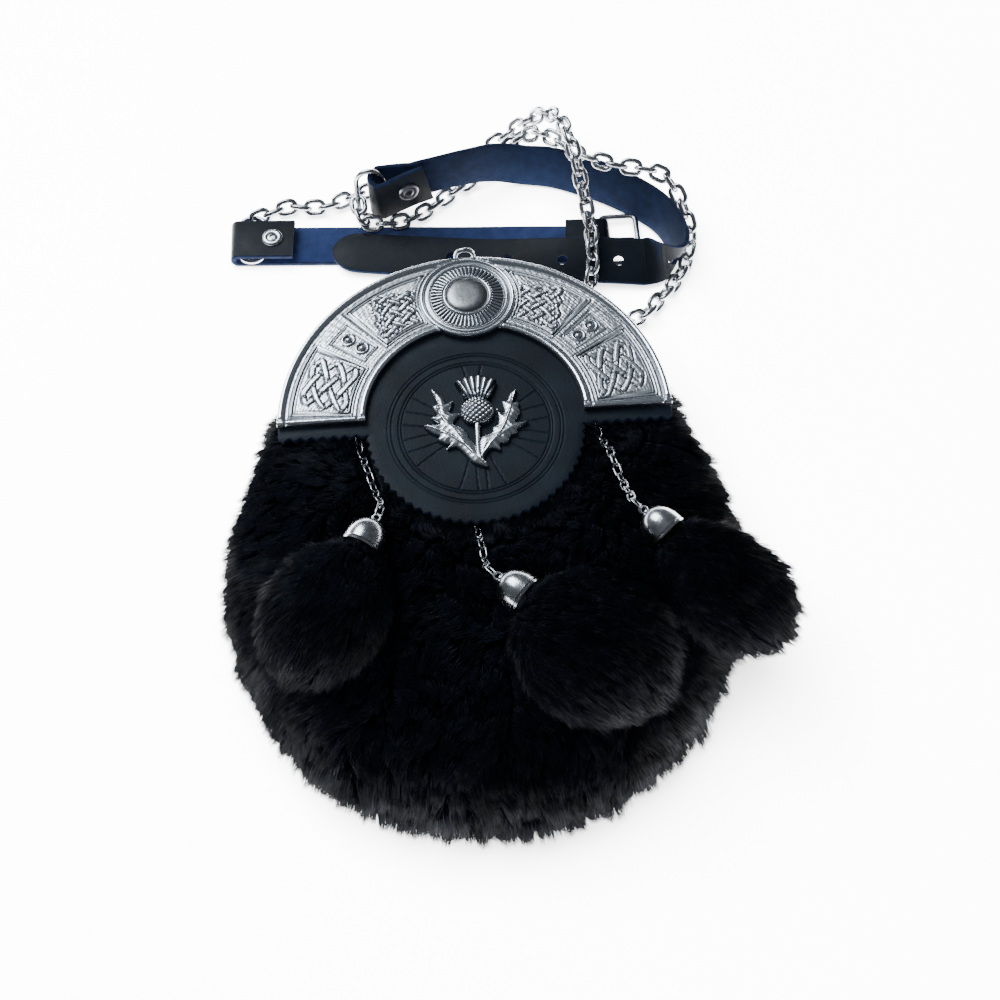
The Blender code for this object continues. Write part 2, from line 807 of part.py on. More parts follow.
def frame_of(heading, dip):
    """Unit vectors along, across and over a tassel."""
    turn, fall = math.radians(heading), math.radians(dip)
    along = np.array(
        (math.cos(turn) * math.cos(fall), math.sin(turn) * math.cos(fall), -math.sin(fall))
    )
    across = unit(np.cross(Z_AXIS, along))
    return along, across, np.cross(along, across)


def tassel_body(row, grow=0.0, sides=12):
    """(points, faces) of a tassel's rounded body behind its cap."""
    _, x, y, heading, dip, length, width, thick, z, _, _ = row
    along, across, over = frame_of(heading, dip)
    start = np.array((x, y, z)) * MM + along * (CAP_LENGTH + GAP)
    angles = 2 * math.pi * np.arange(sides) / sides
    rings = []
    for share, radius in TASSEL_PROFILE:
        place = start + along * (share * length * MM + grow * (2 * share - 1))
        wide = radius * width / 2 * MM
        if share == 0:
            wide = max(wide, NECK_WIDTH / 2)
        tall = min(wide, radius * thick / 2 * MM + 1.5 * MM)
        rings.append(
            place
            + np.cos(angles)[:, None] * across * (wide + grow)
            + np.sin(angles)[:, None] * over * (tall + grow)
        )
    return stack(rings)


def spike(base, tip, width, side):
    """(points, faces) of one lock of fur: a three-sided point."""
    along = unit(tip - base)
    across = unit(np.cross(along, side))
    over = np.cross(along, across)
    corners = [
        base + across * width / 2 + over * width / 4,
        base - across * width / 2 + over * width / 4,
        base - over * width / 2,
        tip,
    ]
    return np.array(corners), [(0, 1, 2), (0, 3, 1), (1, 3, 2), (2, 3, 0)]


def tassel_locks(row):
    """Locks on a tassel's upper side, clear of the fur that it lies on."""
    _, x, y, heading, dip, length, width, thick, z, _, _ = row
    along, across, over = frame_of(heading, dip)
    start = np.array((x, y, z)) * MM + along * (CAP_LENGTH + GAP)
    locks = []
    for share, radius, count in ((0.38, 0.97, 8), (0.64, 0.93, 8), (0.86, 0.60, 7)):
        for i in range(count):
            angle = 2 * math.pi * (i + 0.5 * (share > 0.5)) / count
            if math.sin(angle) < -0.1:
                continue
            out = math.cos(angle) * across * width / 2 + math.sin(angle) * over * thick / 2
            surface = start + along * share * length * MM + out * radius * MM
            lean = unit(unit(out) * 0.75 + along * (0.5 + share))
            base = surface - unit(out) * 3.0 * MM
            locks.append(spike(base, base + lean * (TASSEL_LOCK + 3.0 * MM), LOCK_WIDTH, along))
    return locks


def cap_frame(row):
    _, x, y, heading, dip, *_ = row
    z = row[8]
    return np.array((x, y, z)) * MM, frame_of(heading, dip)[0]


def make_cap(row, material):
    origin, along = cap_frame(row)
    profile = [(share * CAP_LENGTH, radius * CAP_WIDTH / 2) for share, radius in CAP_PROFILE]
    cap = mesh_object(f"tassel_cap_{row[0]}", *turned(profile, origin, along, 12))
    knob = [
        (-CAP_KNOB, 0.4 * CAP_KNOB),
        (-0.5 * CAP_KNOB, CAP_KNOB),
        (0.5 * CAP_KNOB, CAP_KNOB),
        (CAP_KNOB, 0.6 * CAP_KNOB),
    ]
    fuse(cap, mesh_object("knob", *turned(knob, origin, along, 8)))
    finish(cap, material)
    return cap


def fur_height(x, y):
    """Height of the fur's front: pressed flat under the flap, full away from it."""
    to_tongue = math.hypot(x, y + TONGUE_DROP) - TONGUE_RADIUS
    to_strip = -FOOT_STRIP - y if abs(x) < CANTLE_RADIUS else 100 * MM
    share = smooth_step(min(to_tongue, max(to_strip, 0.0)) / FUR_EDGE)
    flat = FLAP_BOTTOM + 0.8 * MM
    return flat + (FUR_TOP - flat) * float(share)


def tassel_chain_points(row):
    """The route of a fine chain, from under the flap over the fur to its cap."""
    radius = TASSEL_CHAIN_WIDTH / 2
    origin, along = cap_frame(row)
    end = origin - along * (CAP_KNOB + 2 * GAP)
    leave = np.array((row[9] * MM, row[10] * MM, FLAP_BOTTOM - radius - GAP))
    points = [leave + (0.0, 2 * TASSEL_CHAIN_WIDTH, 0.0), leave]
    for share in (0.35, 0.65):
        point = leave + (end - along * TASSEL_CHAIN_WIDTH - leave) * share
        point[2] = fur_height(point[0], point[1]) + radius + GAP
        points.append(point)
    path = rounded([*points, end - along * TASSEL_CHAIN_WIDTH, end], 2)
    path[:, 2] = np.maximum(path[:, 2], leave[2])
    return path


def make_tube(name, points, diameter, material):
    """A chain's outer form, as a closed tube through the points."""
    curve = bpy.data.curves.new(name, "CURVE")
    curve.dimensions = "3D"
    curve.bevel_depth = diameter / 2
    curve.bevel_resolution = 2
    curve.use_fill_caps = True
    spline = curve.splines.new("POLY")
    spline.points.add(len(points) - 1)
    for point, place in zip(spline.points, points):
        point.co = (*place, 1.0)
    curve.materials.append(material)
    obj = bpy.data.objects.new(name, curve)
    bpy.context.scene.collection.objects.link(obj)
    return obj


def make_tassel(row, material):
    tassel = mesh_object(f"tassel_{row[0]}", *tassel_body(row))
    fuse(tassel, joined("locks", tassel_locks(row)))
    keep_largest(tassel)
    finish(tassel, material, 60.0)
    return tassel


# Fur on the pouch


def fur_offset(y):
    """Depth of the side fur at a distance up the pouch, none behind the cantle."""
    return FUR_SIDE * smooth_step((FUR_END + 14.0 * MM - y) / (28.0 * MM))


def fur_rings():
    outline = pouch_outline()
    normals = outward(outline)
    depth = fur_offset(outline[:, 1])[:, None]
    full = POUCH_DEPTH + FUR_FRONT
    rings = []
    for share, out in FUR_PROFILE:
        flat = outline + normals * (depth * out if out > 0 else FUR_SIDE * out)
        heights = np.full(len(flat), share * full)
        if out < 0:
            limit = [fur_height(x, y) for x, y in flat]
            heights = np.minimum(heights, limit)
        rings.append(np.column_stack([flat, heights]))
    last = rings[-1][:, :2]
    middle = np.array((0.0, POUCH_MIDDLE_Y - 10 * MM))
    for scale in FUR_RINGS:
        flat = middle + (last - middle) * scale
        heights = [fur_height(x, y) for x, y in flat]
        rings.append(np.column_stack([flat, heights]))
    return rings


def side_locks():
    """Locks round the pouch's edge that carry its ragged outline."""
    outline = pouch_outline()
    normals = outward(outline)
    ring = np.concatenate([outline, outline[:1]])
    steps = np.concatenate([[0.0], np.cumsum(np.linalg.norm(np.diff(ring, axis=0), axis=1))])
    locks = []
    for row, (height, out, count) in enumerate(((0.30, 1.0, SIDE_LOCKS), (0.62, 0.85, SIDE_LOCKS))):
        for i in range(count):
            place = steps[-1] * (i + 0.5 * row) / count
            point = np.array([np.interp(place, steps, ring[:, k]) for k in (0, 1)])
            index = int(np.argmin(np.linalg.norm(outline - point, axis=1)))
            if point[1] > -4.0 * MM:
                continue
            normal = np.append(normals[index], 0.0)
            z = height * (POUCH_DEPTH + FUR_FRONT)
            surface = np.append(point, z) + normal * FUR_SIDE * out
            down = np.array((0.0, -0.55, -0.12 if row else 0.05))
            lean = unit(normal * 1.0 + down)
            base = surface - normal * 4.0 * MM
            locks.append(spike(base, base + lean * LOCK_LENGTH, LOCK_WIDTH, Z_AXIS))
    return locks


def front_locks():
    """Locks on the fur's front, clear of the flap, chains and tassels."""
    locks = []
    for x, y in FRONT_LOCKS:
        spot = np.array((x, y)) * MM
        z = fur_height(*spot)
        base = np.array((*spot, min(z, FUR_TOP) - 4.5 * MM))
        lean = unit(np.array((0.1, -0.8, 0.75)))
        locks.append(spike(base, base + lean * LOCK_LENGTH, LOCK_WIDTH, Z_AXIS))
    return locks


def make_fur(material):
    """The fur hide round the pouch, hollowed by it and pressed by what lies on it."""
    fur = mesh_object("fur_front", *stack(fur_rings()))
    fuse(fur, joined("side_locks", side_locks()), joined("front_locks", front_locks()))
    inner = mesh_object("inner", *pouch_solid(GAP + 0.05 * MM, straight_down=True))
    far = 2 * POUCH_WIDTH
    below = mesh_object("below", *box((-far, -far, -far), (far, far, FUR_CLEAR)))
    above = mesh_object("above", *box((-far, MOUTH_Y - MM, -far), (far, far, far)))
    behind = mesh_object("behind", *box((-far, FUR_END, -far), (far, far, POUCH_TOP + 2 * GAP)))
    under = mesh_object(
        "under", *prism(flap_outline(1.0 * MM, pinked=False), FLAP_BOTTOM - GAP, 3 * FUR_TOP)
    )
    cut(fur, behind, inner, below, above, under)
    for row in TASSELS:
        cut(fur, mesh_object("dent", *tassel_body(row, 0.8 * MM, 12)))
        origin, along = cap_frame(row)
        half = CAP_WIDTH / 2
        cap = [(-2.4 * MM, 3.0 * MM), (0.3 * CAP_LENGTH, half), (CAP_LENGTH + MM, half + 0.6 * MM)]
        cut(fur, mesh_object("cap", *turned(cap, origin, along, 10)))
        path = tassel_chain_points(row)
        cut(fur, mesh_object("groove", *swept(path, TASSEL_CHAIN_WIDTH / 2 + 0.4 * MM, 6)))
    keep_largest(fur)
    finish(fur, material, 60.0)
    return fur


# Straps


def ribbon(stations, width_shares):
    """(points, faces) of a strap from rows of lower edge, width direction and tangent."""
    rings = []
    for (low, across, along), (start, end) in zip(stations, width_shares):
        normal = np.cross(along, across)
        a = low + across * STRAP_WIDTH * start
        b = low + across * STRAP_WIDTH * end
        half = normal * STRAP_THICK / 2
        rings.append(np.array([a - half, b - half, b + half, a + half]))
    return stack(rings)


def tangents(points):
    along = np.gradient(points, axis=0)
    return along / np.linalg.norm(along, axis=1)[:, None]


def strap_stations(edge, leans):
    """The strap's lower edge, width direction and tangent at each point."""
    along = tangents(edge)
    across = leans - np.sum(leans * along, axis=1)[:, None] * along
    across /= np.linalg.norm(across, axis=1)[:, None]
    return list(zip(edge, across, along))


def tongue_stations():
    """The long strap, from its round tip round the bend and the ring fold."""
    table = np.array(TONGUE_STRAP_ROUTE) * (MM, MM, MM, 1.0, 1.0)
    middle = np.array(TONGUE_FOLD_MIDDLE) * MM
    turn = arc(FOLD_LOOP, 90.0, 270.0, FOLD_STEPS, middle[:2])
    rest = np.tile((middle[2], *table[-1, 3:]), (len(turn), 1))
    fold = np.column_stack([turn, rest])
    end = [(*(np.array(point) * MM), *table[-1, 3:]) for point in TONGUE_FOLD_END]
    smooth = np.concatenate([table, fold, end])
    lean, heading = np.radians(smooth[:, 3]), np.radians(smooth[:, 4])
    leans = np.column_stack(
        [np.cos(lean) * np.cos(heading), np.cos(lean) * np.sin(heading), np.sin(lean)]
    )
    return strap_stations(smooth[:, :3], leans)


def buckle_stations():
    """The short strap: a fold round the ring, the run on the floor, a fold round the bar."""
    run = np.array(BUCKLE_STRAP_ROUTE) * MM
    low = STRAP_THICK / 2 + 0.2 * MM
    points = []
    for end, wire, length, sign in (
        (run[0], RING_WIRE, RING_FOLD_LENGTH, -1.0),
        (run[-1], BUCKLE_WIRE, BUCKLE_FOLD_LENGTH, 1.0),
    ):
        radius = (wire + STRAP_THICK) / 2 + GAP
        turn = arc(radius, 90.0, -90.0, FOLD_STEPS, (0.0, low + radius))
        side = [(end[0] + sign * x, end[1], z) for x, z in turn]
        slope = (run[1] - run[0]) if sign < 0 else (run[-2] - run[-1])
        slope = slope / np.linalg.norm(slope)
        dip = 0.0 if sign < 0 else radius / 3
        far = (*(end + slope * length), low + 2 * radius - dip)
        points.append([far, *side])
    runs = [(x, y, low) for x, y in run[1:-1]]
    middle = np.array(points[0] + runs + points[1][::-1])
    leans = np.tile((0.0, 1.0, 0.0), (len(middle), 1))
    stations = strap_stations(middle, leans)
    return [(edge - across * STRAP_WIDTH / 2, across, along) for edge, across, along in stations]


def station_at(stations, distance):
    """The station this far along the strap, by interpolation."""
    edge = np.array([low for low, _, _ in stations])
    steps = np.concatenate([[0.0], np.cumsum(np.linalg.norm(np.diff(edge, axis=0), axis=1))])
    found = []
    for column in range(3):
        rows = np.array([station[column] for station in stations])
        found.append(np.array([np.interp(distance, steps, rows[:, k]) for k in range(3)]))
    return found[0], unit(found[1]), unit(found[2])


def with_round_tip(stations):
    """Adds close stations at the tip, whose width narrows to a half circle."""
    edge = np.array([low for low, _, _ in stations])
    steps = np.concatenate([[0.0], np.cumsum(np.linalg.norm(np.diff(edge, axis=0), axis=1))])
    rows, shares = [], []
    for share in (0.0, 0.12, 0.3, 0.6, 1.0):
        half = 0.5 * math.sqrt(max(0.03, 1.0 - (1.0 - share) ** 2))
        rows.append(station_at(stations, share * TIP_LENGTH))
        shares.append((0.5 - half, 0.5 + half))
    for place, station in zip(steps, stations):
        if place > TIP_LENGTH + MM:
            rows.append(station)
            shares.append((0.0, 1.0))
    return rows, shares


def hole_cutter(station, diameter, length, sides=8):
    low, across, along = station
    normal = np.cross(along, across)
    middle = low + across * STRAP_WIDTH / 2
    start = middle - normal * length / 2
    return mesh_object(
        "hole", *turned([(0.0, diameter / 2), (length, diameter / 2)], start, normal, sides)
    )


def make_tongue_strap(material):
    stations = tongue_stations()
    strap = mesh_object("tongue_strap", *ribbon(*with_round_tip(stations)))
    for i in range(HOLES):
        station = station_at(stations, FIRST_HOLE + i * HOLE_PITCH)
        cut(strap, hole_cutter(station, HOLE_DIAMETER, 3 * STRAP_THICK))
    finish(strap, material)
    return strap


def make_buckle_strap(material):
    stations = buckle_stations()
    strap = mesh_object("buckle_strap", *ribbon(stations, [(0.0, 1.0)] * len(stations)))
    finish(strap, material)
    return strap


def rivet_points(place, normal, gap_under):
    """A domed rivet head on a strap's outer face."""
    radius = RIVET_DIAMETER / 2
    profile = ((0.0, radius), (0.5 * RIVET_HEAD, radius), (RIVET_HEAD, 0.8 * radius))
    start = place + normal * gap_under
    return turned(profile, start, normal, 16)


def make_rivets(material):
    """The two snap rivets, each a head on the fold's outer layer."""
    rivets = []
    buckle = buckle_stations()
    tongue = tongue_stations()
    ends = (
        ("rivet_left", buckle, 9.0 * MM, True),
        ("rivet_middle", tongue[::-1], 9.0 * MM, False),
    )
    for name, stations, distance, from_start in ends:
        low, across, along = station_at(stations, distance)
        normal = unit(np.cross(along, across))
        outer = normal if (normal[2] if from_start else -normal[1]) > 0 else -normal
        place = low + across * STRAP_WIDTH / 2
        rivet = mesh_object(name, *rivet_points(place, outer, STRAP_THICK / 2 + GAP))
        finish(rivet, material)
        rivets.append(rivet)
    return rivets


# Rings, buckle and loops


def stadium(length, width, steps):
    """Middle line of an oval: (along, across) points."""
    radius = width / 2
    straight = length / 2 - radius
    points = []
    for end in (1.0, -1.0):
        for i in range(steps):
            angle = math.pi * (i / (steps - 1) - 0.5)
            point = (straight + radius * math.cos(angle), radius * math.sin(angle))
            points.append(end * np.array(point))
    return np.array(points)


def oval_ring(centre, along, across, length, width, wire, steps=7, sides=6):
    """(points, faces) of an oval wire ring in the plane of two directions."""
    flat = stadium(length - wire, width - wire, steps)
    path = centre + flat[:, :1] * along + flat[:, 1:] * across
    return swept(path, wire / 2, sides, closed=True, up=np.cross(along, across))


def strap_ring_frames():
    """Centre and directions of the ring in each strap's end fold."""
    fold = np.array(BUCKLE_STRAP_ROUTE)[0] * MM
    height = STRAP_THICK + 0.2 * MM + GAP + RING_WIRE / 2
    left = np.array((fold[0] + (RING_WIDTH - RING_WIRE) / 2, fold[1] + RING_SHIFT, height))
    lean = math.radians(RING_LEAN)
    middle = np.array(TONGUE_FOLD_MIDDLE) * MM
    middle = middle + (-RING_SHIFT - 3.6 * MM, 0.0, STRAP_WIDTH / 2)
    return {
        "strap_ring_left": (left, np.array((0.0, 1.0, 0.0)), np.array((1.0, 0.0, 0.0))),
        "strap_ring_middle": (
            middle,
            np.array((0.0, math.cos(lean), math.sin(lean))),
            np.array((1.0, 0.0, 0.0)),
        ),
    }


def make_strap_rings(material):
    for name, (centre, along, across) in strap_ring_frames().items():
        ring = mesh_object(
            name, *oval_ring(centre, along, across, RING_LENGTH, RING_WIDTH, RING_WIRE)
        )
        finish(ring, material)


def buckle_centre():
    end = np.array(BUCKLE_STRAP_ROUTE)[-1] * MM
    height = STRAP_THICK + 0.2 * MM + GAP + BUCKLE_WIRE / 2
    return np.array((end[0] + (BUCKLE_LENGTH - BUCKLE_WIRE) / 2, end[1], height))


def make_buckle(material):
    """A rounded frame, whose left bar is in the strap's fold, and a prong beside it."""
    centre = buckle_centre()
    half_length = (BUCKLE_LENGTH - BUCKLE_WIRE) / 2
    half_width = (BUCKLE_WIDTH - BUCKLE_WIRE) / 2
    path = []
    for sx, sy, start in ((1, 1, 0), (-1, 1, 90), (-1, -1, 180), (1, -1, 270)):
        middle = centre + (sx * (half_length - BUCKLE_CORNER), sy * (half_width - BUCKLE_CORNER), 0)
        for x, y in arc(BUCKLE_CORNER, start, start + 90, 3):
            path.append(middle + (x, y, 0))
    frame = mesh_object("buckle_frame", *swept(path, BUCKLE_WIRE / 2, 8, closed=True))
    finish(frame, material)
    start = centre + np.array((-half_length + BUCKLE_WIRE / 2 + STRAP_THICK + 3 * GAP, 0.0, 0.0))
    end = centre + np.array((half_length - BUCKLE_WIRE / 2 - GAP, 0.0, 0.0))
    prong = mesh_object("buckle_prong", *swept([start, end], 1.0 * MM, 8))
    finish(prong, material)


def make_back_loops(material):
    """Wire loops at the pouch's shoulders, whose legs end at its side wall."""
    for name in LOOP_SIDES:
        root, out = loop_frame(name)
        side = np.cross(Z_AXIS, out)
        half = (LOOP_WIDTH - LOOP_WIRE) / 2
        straight = LOOP_REACH - half - LOOP_WIRE / 2
        path = [root + side * half]
        for step in range(7):
            angle = math.pi * step / 6
            reach = out * (straight + half * math.sin(angle))
            path.append(root + reach + side * half * math.cos(angle))
        path.append(root - side * half)
        loop = mesh_object(f"back_loop_{name}", *swept(path, LOOP_WIRE / 2, 6))
        finish(loop, material)


def loop_frame(name):
    """Where a loop stands on the pouch's shoulder, less its gap, and its way out."""
    before, after = pouch_outline()[2:4]
    along = unit(after - before)
    out = np.array((-along[1], along[0]))
    root = before + (after - before) * LOOP_SHARE + out * GAP
    mirror = np.array((LOOP_SIDES[name], 1.0))
    return np.append(root * mirror, LOOP_HEIGHT), np.append(out * mirror, 0.0)


def make_top_staple(material):
    """The loop that stands behind the cantle's top, on the flap's fold."""
    half = (STAPLE_WIDTH - STAPLE_WIRE) / 2
    y = CANTLE_RADIUS + STAPLE_WIRE / 2 + GAP
    middle = FLAP_BOTTOM + STAPLE_HEIGHT / 2
    bow = [(x, y, z) for x, z in arc(half, 180.0, 0.0, 6, (0.0, middle))]
    path = [(-half, y, FLAP_BOTTOM), *bow, (half, y, FLAP_BOTTOM)]
    back = np.array((0.0, 1.0, 0.0))
    staple = mesh_object("top_staple", *swept(path, STAPLE_WIRE / 2, 6, up=back))
    finish(staple, material)


# Belt chains


def even_points(path, spacing):
    """Points along the path at the even spacing nearest to the one asked for."""
    steps = np.concatenate([[0.0], np.cumsum(np.linalg.norm(np.diff(path, axis=0), axis=1))])
    count = round(steps[-1] / spacing)
    places = steps[-1] * np.arange(count + 1) / count
    return np.column_stack([np.interp(places, steps, path[:, k]) for k in range(3)])


def walk(path, pitch):
    """Points along the path, each one pitch from the last in a straight line."""
    nodes = [path[0]]
    for before, after in zip(path[:-1], path[1:]):
        near, far = (np.linalg.norm(place - nodes[-1]) for place in (before, after))
        if near < pitch <= far:
            nodes.append(before + (after - before) * (pitch - near) / (far - near))
    return nodes


def chain_nodes(path, pitch):
    """The nodes of links of one length that reach from end to end of the path."""
    count = len(walk(path, pitch))
    while len(walk(path, pitch)) == count:
        pitch *= 0.9999
    return np.array(walk(path, pitch))


def loop_anchor(name):
    """The middle of a loop's outermost wire, and the loop's way out."""
    root, out = loop_frame(name)
    return root + out * (LOOP_REACH - LOOP_WIRE / 2), out


def bearing(wire):
    """How far past a wire's middle the end node of a link that hangs on it lies."""
    return (wire + LINK_WIRE) / 2 + GAP / 2 - (LINK_WIRE - LINK_BITE) / 2


def link_shape(start, end, turn):
    """(points, faces) of one oval link between two nodes, rolled about its length."""
    along = unit(end - start)
    side = unit(np.cross(Z_AXIS, along))
    over = np.cross(along, side)
    roll = math.radians(turn)
    across = math.cos(roll) * side + math.sin(roll) * over
    return oval_ring(
        (start + end) / 2, along, across, LINK_LENGTH, LINK_WIDTH, LINK_WIRE, steps=5, sides=5
    )


def make_link_chain(name, path, material):
    """Interlocked links, fused where they bear on each other."""
    nodes = chain_nodes(path, LINK_LENGTH - 2 * LINK_WIRE + LINK_BITE)
    turns = [FIRST_TURN] + [LINK_TURN] * (len(nodes) - 3) + [LAST_TURN]
    links = [
        link_shape(nodes[i], nodes[i + 1], turn if i % 2 else -turn)
        for i, turn in enumerate(turns)
    ]
    chain = joined(name, links[::2])
    fuse(chain, joined("other_links", links[1::2]))
    finish(chain, material)
    return chain


def make_belt_chains(material):
    """The right chain link by link, and the left one as its outer form."""
    wire, out = loop_anchor("right")
    ring, along, across = strap_ring_frames()["strap_ring_middle"]
    leg = ring - across * (RING_WIDTH - RING_WIRE) / 2 - along * LEG_SHARE * RING_LENGTH
    pull = unit(leg - np.array(CHAIN_RIGHT_ROUTE[-1]) * MM)
    start = wire - out * bearing(LOOP_WIRE)
    end = leg + pull * bearing(RING_WIRE)
    inner = [start + out * 0.7 * LINK_LENGTH, *(np.array(CHAIN_RIGHT_ROUTE) * MM)]
    make_link_chain("belt_chain_right", rounded([start, *inner, end], 30), material)
    wire, out = loop_anchor("left")
    start = wire + out * (LOOP_WIRE / 2 + 6 * GAP)
    ring, along, _ = strap_ring_frames()["strap_ring_left"]
    end = ring + along * (RING_LENGTH / 2 + CHAIN_TUBE / 2 + GAP) + (0.0, MM, 0.5 * MM)
    inner = [start + out * CHAIN_TUBE - (0.0, 0.0, 3 * MM), *(np.array(CHAIN_LEFT_ROUTE) * MM)]
    path = rounded([start, *inner, end], 30)
    make_tube("belt_chain_left", even_points(path, 2 * CHAIN_TUBE), CHAIN_TUBE, material)


def main():
    clear_scene()
    leather = make_material("black_leather", (0.012, 0.014, 0.020), 0.45, 0.0)
    strap_leather = make_material("strap_leather", (0.030, 0.045, 0.150), 0.60, 0.0)
    silver = make_material("silver_casting", (0.72, 0.73, 0.76), 0.25, 1.0)
    chrome = make_material("chrome", (0.80, 0.80, 0.82), 0.12, 1.0)
    fur = make_material("black_fur", (0.004, 0.004, 0.006), 0.90, 0.0)
    make_pouch(leather)
    make_fur(fur)
    make_flap(leather)
    make_cantle(silver)
    make_thistle(silver)
    make_top_staple(chrome)
    for row in TASSELS:
        make_cap(row, chrome)
        make_tassel(row, fur)
        points = tassel_chain_points(row)
        make_tube(f"tassel_chain_{row[0]}", points, TASSEL_CHAIN_WIDTH, chrome)
    make_buckle_strap(strap_leather)
    make_tongue_strap(strap_leather)
    make_rivets(chrome)
    make_strap_rings(chrome)
    make_buckle(chrome)
    make_back_loops(chrome)
    make_belt_chains(chrome)


main()
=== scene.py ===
"""Looks for the fur sporran pouch with its chain belt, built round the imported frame.

All lengths below are in millimetres in the frame's own axes; meshes are made in metres.
"""

import math

import bmesh
import bpy
import numpy as np
from mathutils import Matrix, Vector, geometry, kdtree


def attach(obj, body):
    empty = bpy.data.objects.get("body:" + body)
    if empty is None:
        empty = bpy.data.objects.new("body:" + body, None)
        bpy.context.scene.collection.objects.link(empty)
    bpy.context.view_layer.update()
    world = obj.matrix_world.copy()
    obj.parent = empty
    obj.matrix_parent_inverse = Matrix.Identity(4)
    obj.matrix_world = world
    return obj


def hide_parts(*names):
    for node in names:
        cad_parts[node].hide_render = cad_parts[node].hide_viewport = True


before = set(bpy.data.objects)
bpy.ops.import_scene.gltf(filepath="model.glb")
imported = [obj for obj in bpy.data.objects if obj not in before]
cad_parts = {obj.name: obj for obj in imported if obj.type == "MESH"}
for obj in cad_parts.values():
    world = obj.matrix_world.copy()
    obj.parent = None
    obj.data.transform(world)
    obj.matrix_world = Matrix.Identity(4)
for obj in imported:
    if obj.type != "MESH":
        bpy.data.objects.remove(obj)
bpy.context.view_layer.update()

MM = 0.001
X_AXIS, Y_AXIS, Z_AXIS = np.identity(3)

# Sizes shared with the CAD part
GAP = 0.3
CANTLE_RADIUS = 75.0
CANTLE_INNER = 41.5
CANTLE_BOTTOM = 35.9
MEDALLION_RADIUS = 19.0
MEDALLION_Y = 55.2
POUCH_LENGTH = 220.0
POUCH_WIDTH = 175.0
POUCH_DEPTH = 30.0
POUCH_TOP_Y = 72.0
MOUTH_Y = 45.0
MOUTH_WIDTH = 84.0
LEATHER = 2.0
FLAP_BOTTOM = 33.6
FLAP_TOP = 35.6
TONGUE_RADIUS = 41.0
TONGUE_DROP = 4.0
FOOT_STRIP = 5.0
PINK_PITCH = 4.0
PINK_DEPTH = 1.3
FOLD_HALF_WIDTH = 31.0
FUR_SIDE = 10.0
FUR_TOP = 41.0
FUR_EDGE = 16.0
FUR_END = 16.0
FUR_FLAT = 34.4
CAP_LENGTH = 12.0
STRAP_WIDTH = 20.0
STRAP_THICK = 2.0
RING_LENGTH = 26.4
RING_WIDTH = 14.0
RING_WIRE = 2.2
BUCKLE_LENGTH = 18.0
BUCKLE_WIDTH = 28.0
BUCKLE_CORNER = 2.4
BUCKLE_WIRE = 2.6
LINK_WIRE = 1.8
CHAIN_LINK = (10.6, 7.7, 2.1)
CHAIN_PITCH = 6.35
TASSEL_LINK = (5.9, 3.5, 0.72)
TASSEL_PITCH = 4.55
LOOP_WIDTH = 10.0
LOOP_REACH = 8.0
LOOP_WIRE = 2.0

POUCH_OUTLINE = (
    (0.0, 0.0), (0.012, 0.2), (0.055, 0.44), (0.13, 0.65), (0.236, 0.785),
    (0.327, 0.85), (0.427, 0.928), (0.532, 0.99), (0.632, 0.995), (0.736, 0.925),
    (0.827, 0.815), (0.895, 0.675), (0.95, 0.49), (0.986, 0.26), (1.0, 0.0),
)
POUCH_PROFILE = (
    (0.0, 0.06), (0.04, 0.02), (0.11, 0.0), (0.66, 0.0), (0.78, 0.03), (0.86, 0.08),
    (0.92, 0.15), (0.96, 0.24), (0.985, 0.36), (1.0, 0.52),
)
FUR_PROFILE = (
    (0.032, 0.3), (0.15, 0.85), (0.34, 1.0), (0.58, 0.9), (0.78, 0.45), (0.92, -0.4),
    (0.99, -1.5),
)
FUR_RINGS = (0.9, 0.78, 0.67, 0.56, 0.45, 0.34, 0.24, 0.14, 0.05)
TASSEL_PROFILE = (
    (0.0, 0.36), (0.07, 0.62), (0.2, 0.84), (0.4, 0.99), (0.62, 0.97), (0.8, 0.76),
    (0.93, 0.42), (1.0, 0.1),
)
# Name, cap's top x and y, heading, dip, length, width, thickness, cap's top z, where
# its chain leaves the flap x and y
TASSELS = (
    ("left", -38.1, -48.3, 242.0, 2.0, 58.0, 47.0, 26.0, 47.5, -44.4, -8.6),
    ("centre", 4.6, -75.5, 318.0, 2.0, 62.0, 58.0, 28.0, 50.0, -1.7, -48.6),
    ("right", 57.7, -53.0, 311.0, 7.0, 58.0, 44.0, 23.0, 50.0, 46.2, -8.6),
)
# Long strap's lower edge x, y, z, its width's lean from the floor and heading
TONGUE_STRAP_ROUTE = (
    (-58, 100, 3.6, 3, 90), (-38, 96.6, 3.5, 3.5, 90), (-12, 93.2, 3.2, 4.5, 90),
    (14, 89.6, 2.8, 8, 90), (38, 86.4, 3.2, 19.2, 90), (54, 84.6, 3.8, 24, 90),
    (68, 83.2, 3.4, 25, 90), (78, 82.8, 2.4, 30, 85), (85.5, 86, 1.6, 48, 60),
    (89, 94, 1.3, 70, 30), (88.6, 103, 1.2, 76, 20), (85, 111.5, 1.2, 76, 45),
    (78, 119.2, 1.2, 74, 70), (66.6, 128.2, 1, 72, 80), (55, 135.2, 0.8, 72, 88),
    (41, 141.6, 0.8, 74, 90), (27, 144.2, 1.2, 78, 90), (14, 143.2, 5.4, 83, 90),
    (2, 139.6, 8.2, 87, 90), (-9, 136.4, 9.2, 88, 90), (-19, 134.9, 7.8, 88, 90),
)
TONGUE_FOLD_MIDDLE = (-33.2, 131.4, 4.6)
TONGUE_FOLD_END = ((-21, 130, 7.4), (-11.5, 132, 9.4))
FOLD_LOOP = 5.2
HOLE_PLACES = (52.0, 76.0, 100.0, 124.0, 149.0)
BUCKLE_STRAP_ROUTE = (
    (-97, 117.3), (-60, 115), (-30, 113), (0, 110.8), (30, 109), (60.5, 106.8),
)
RING_FOLD_LENGTH = 24.0
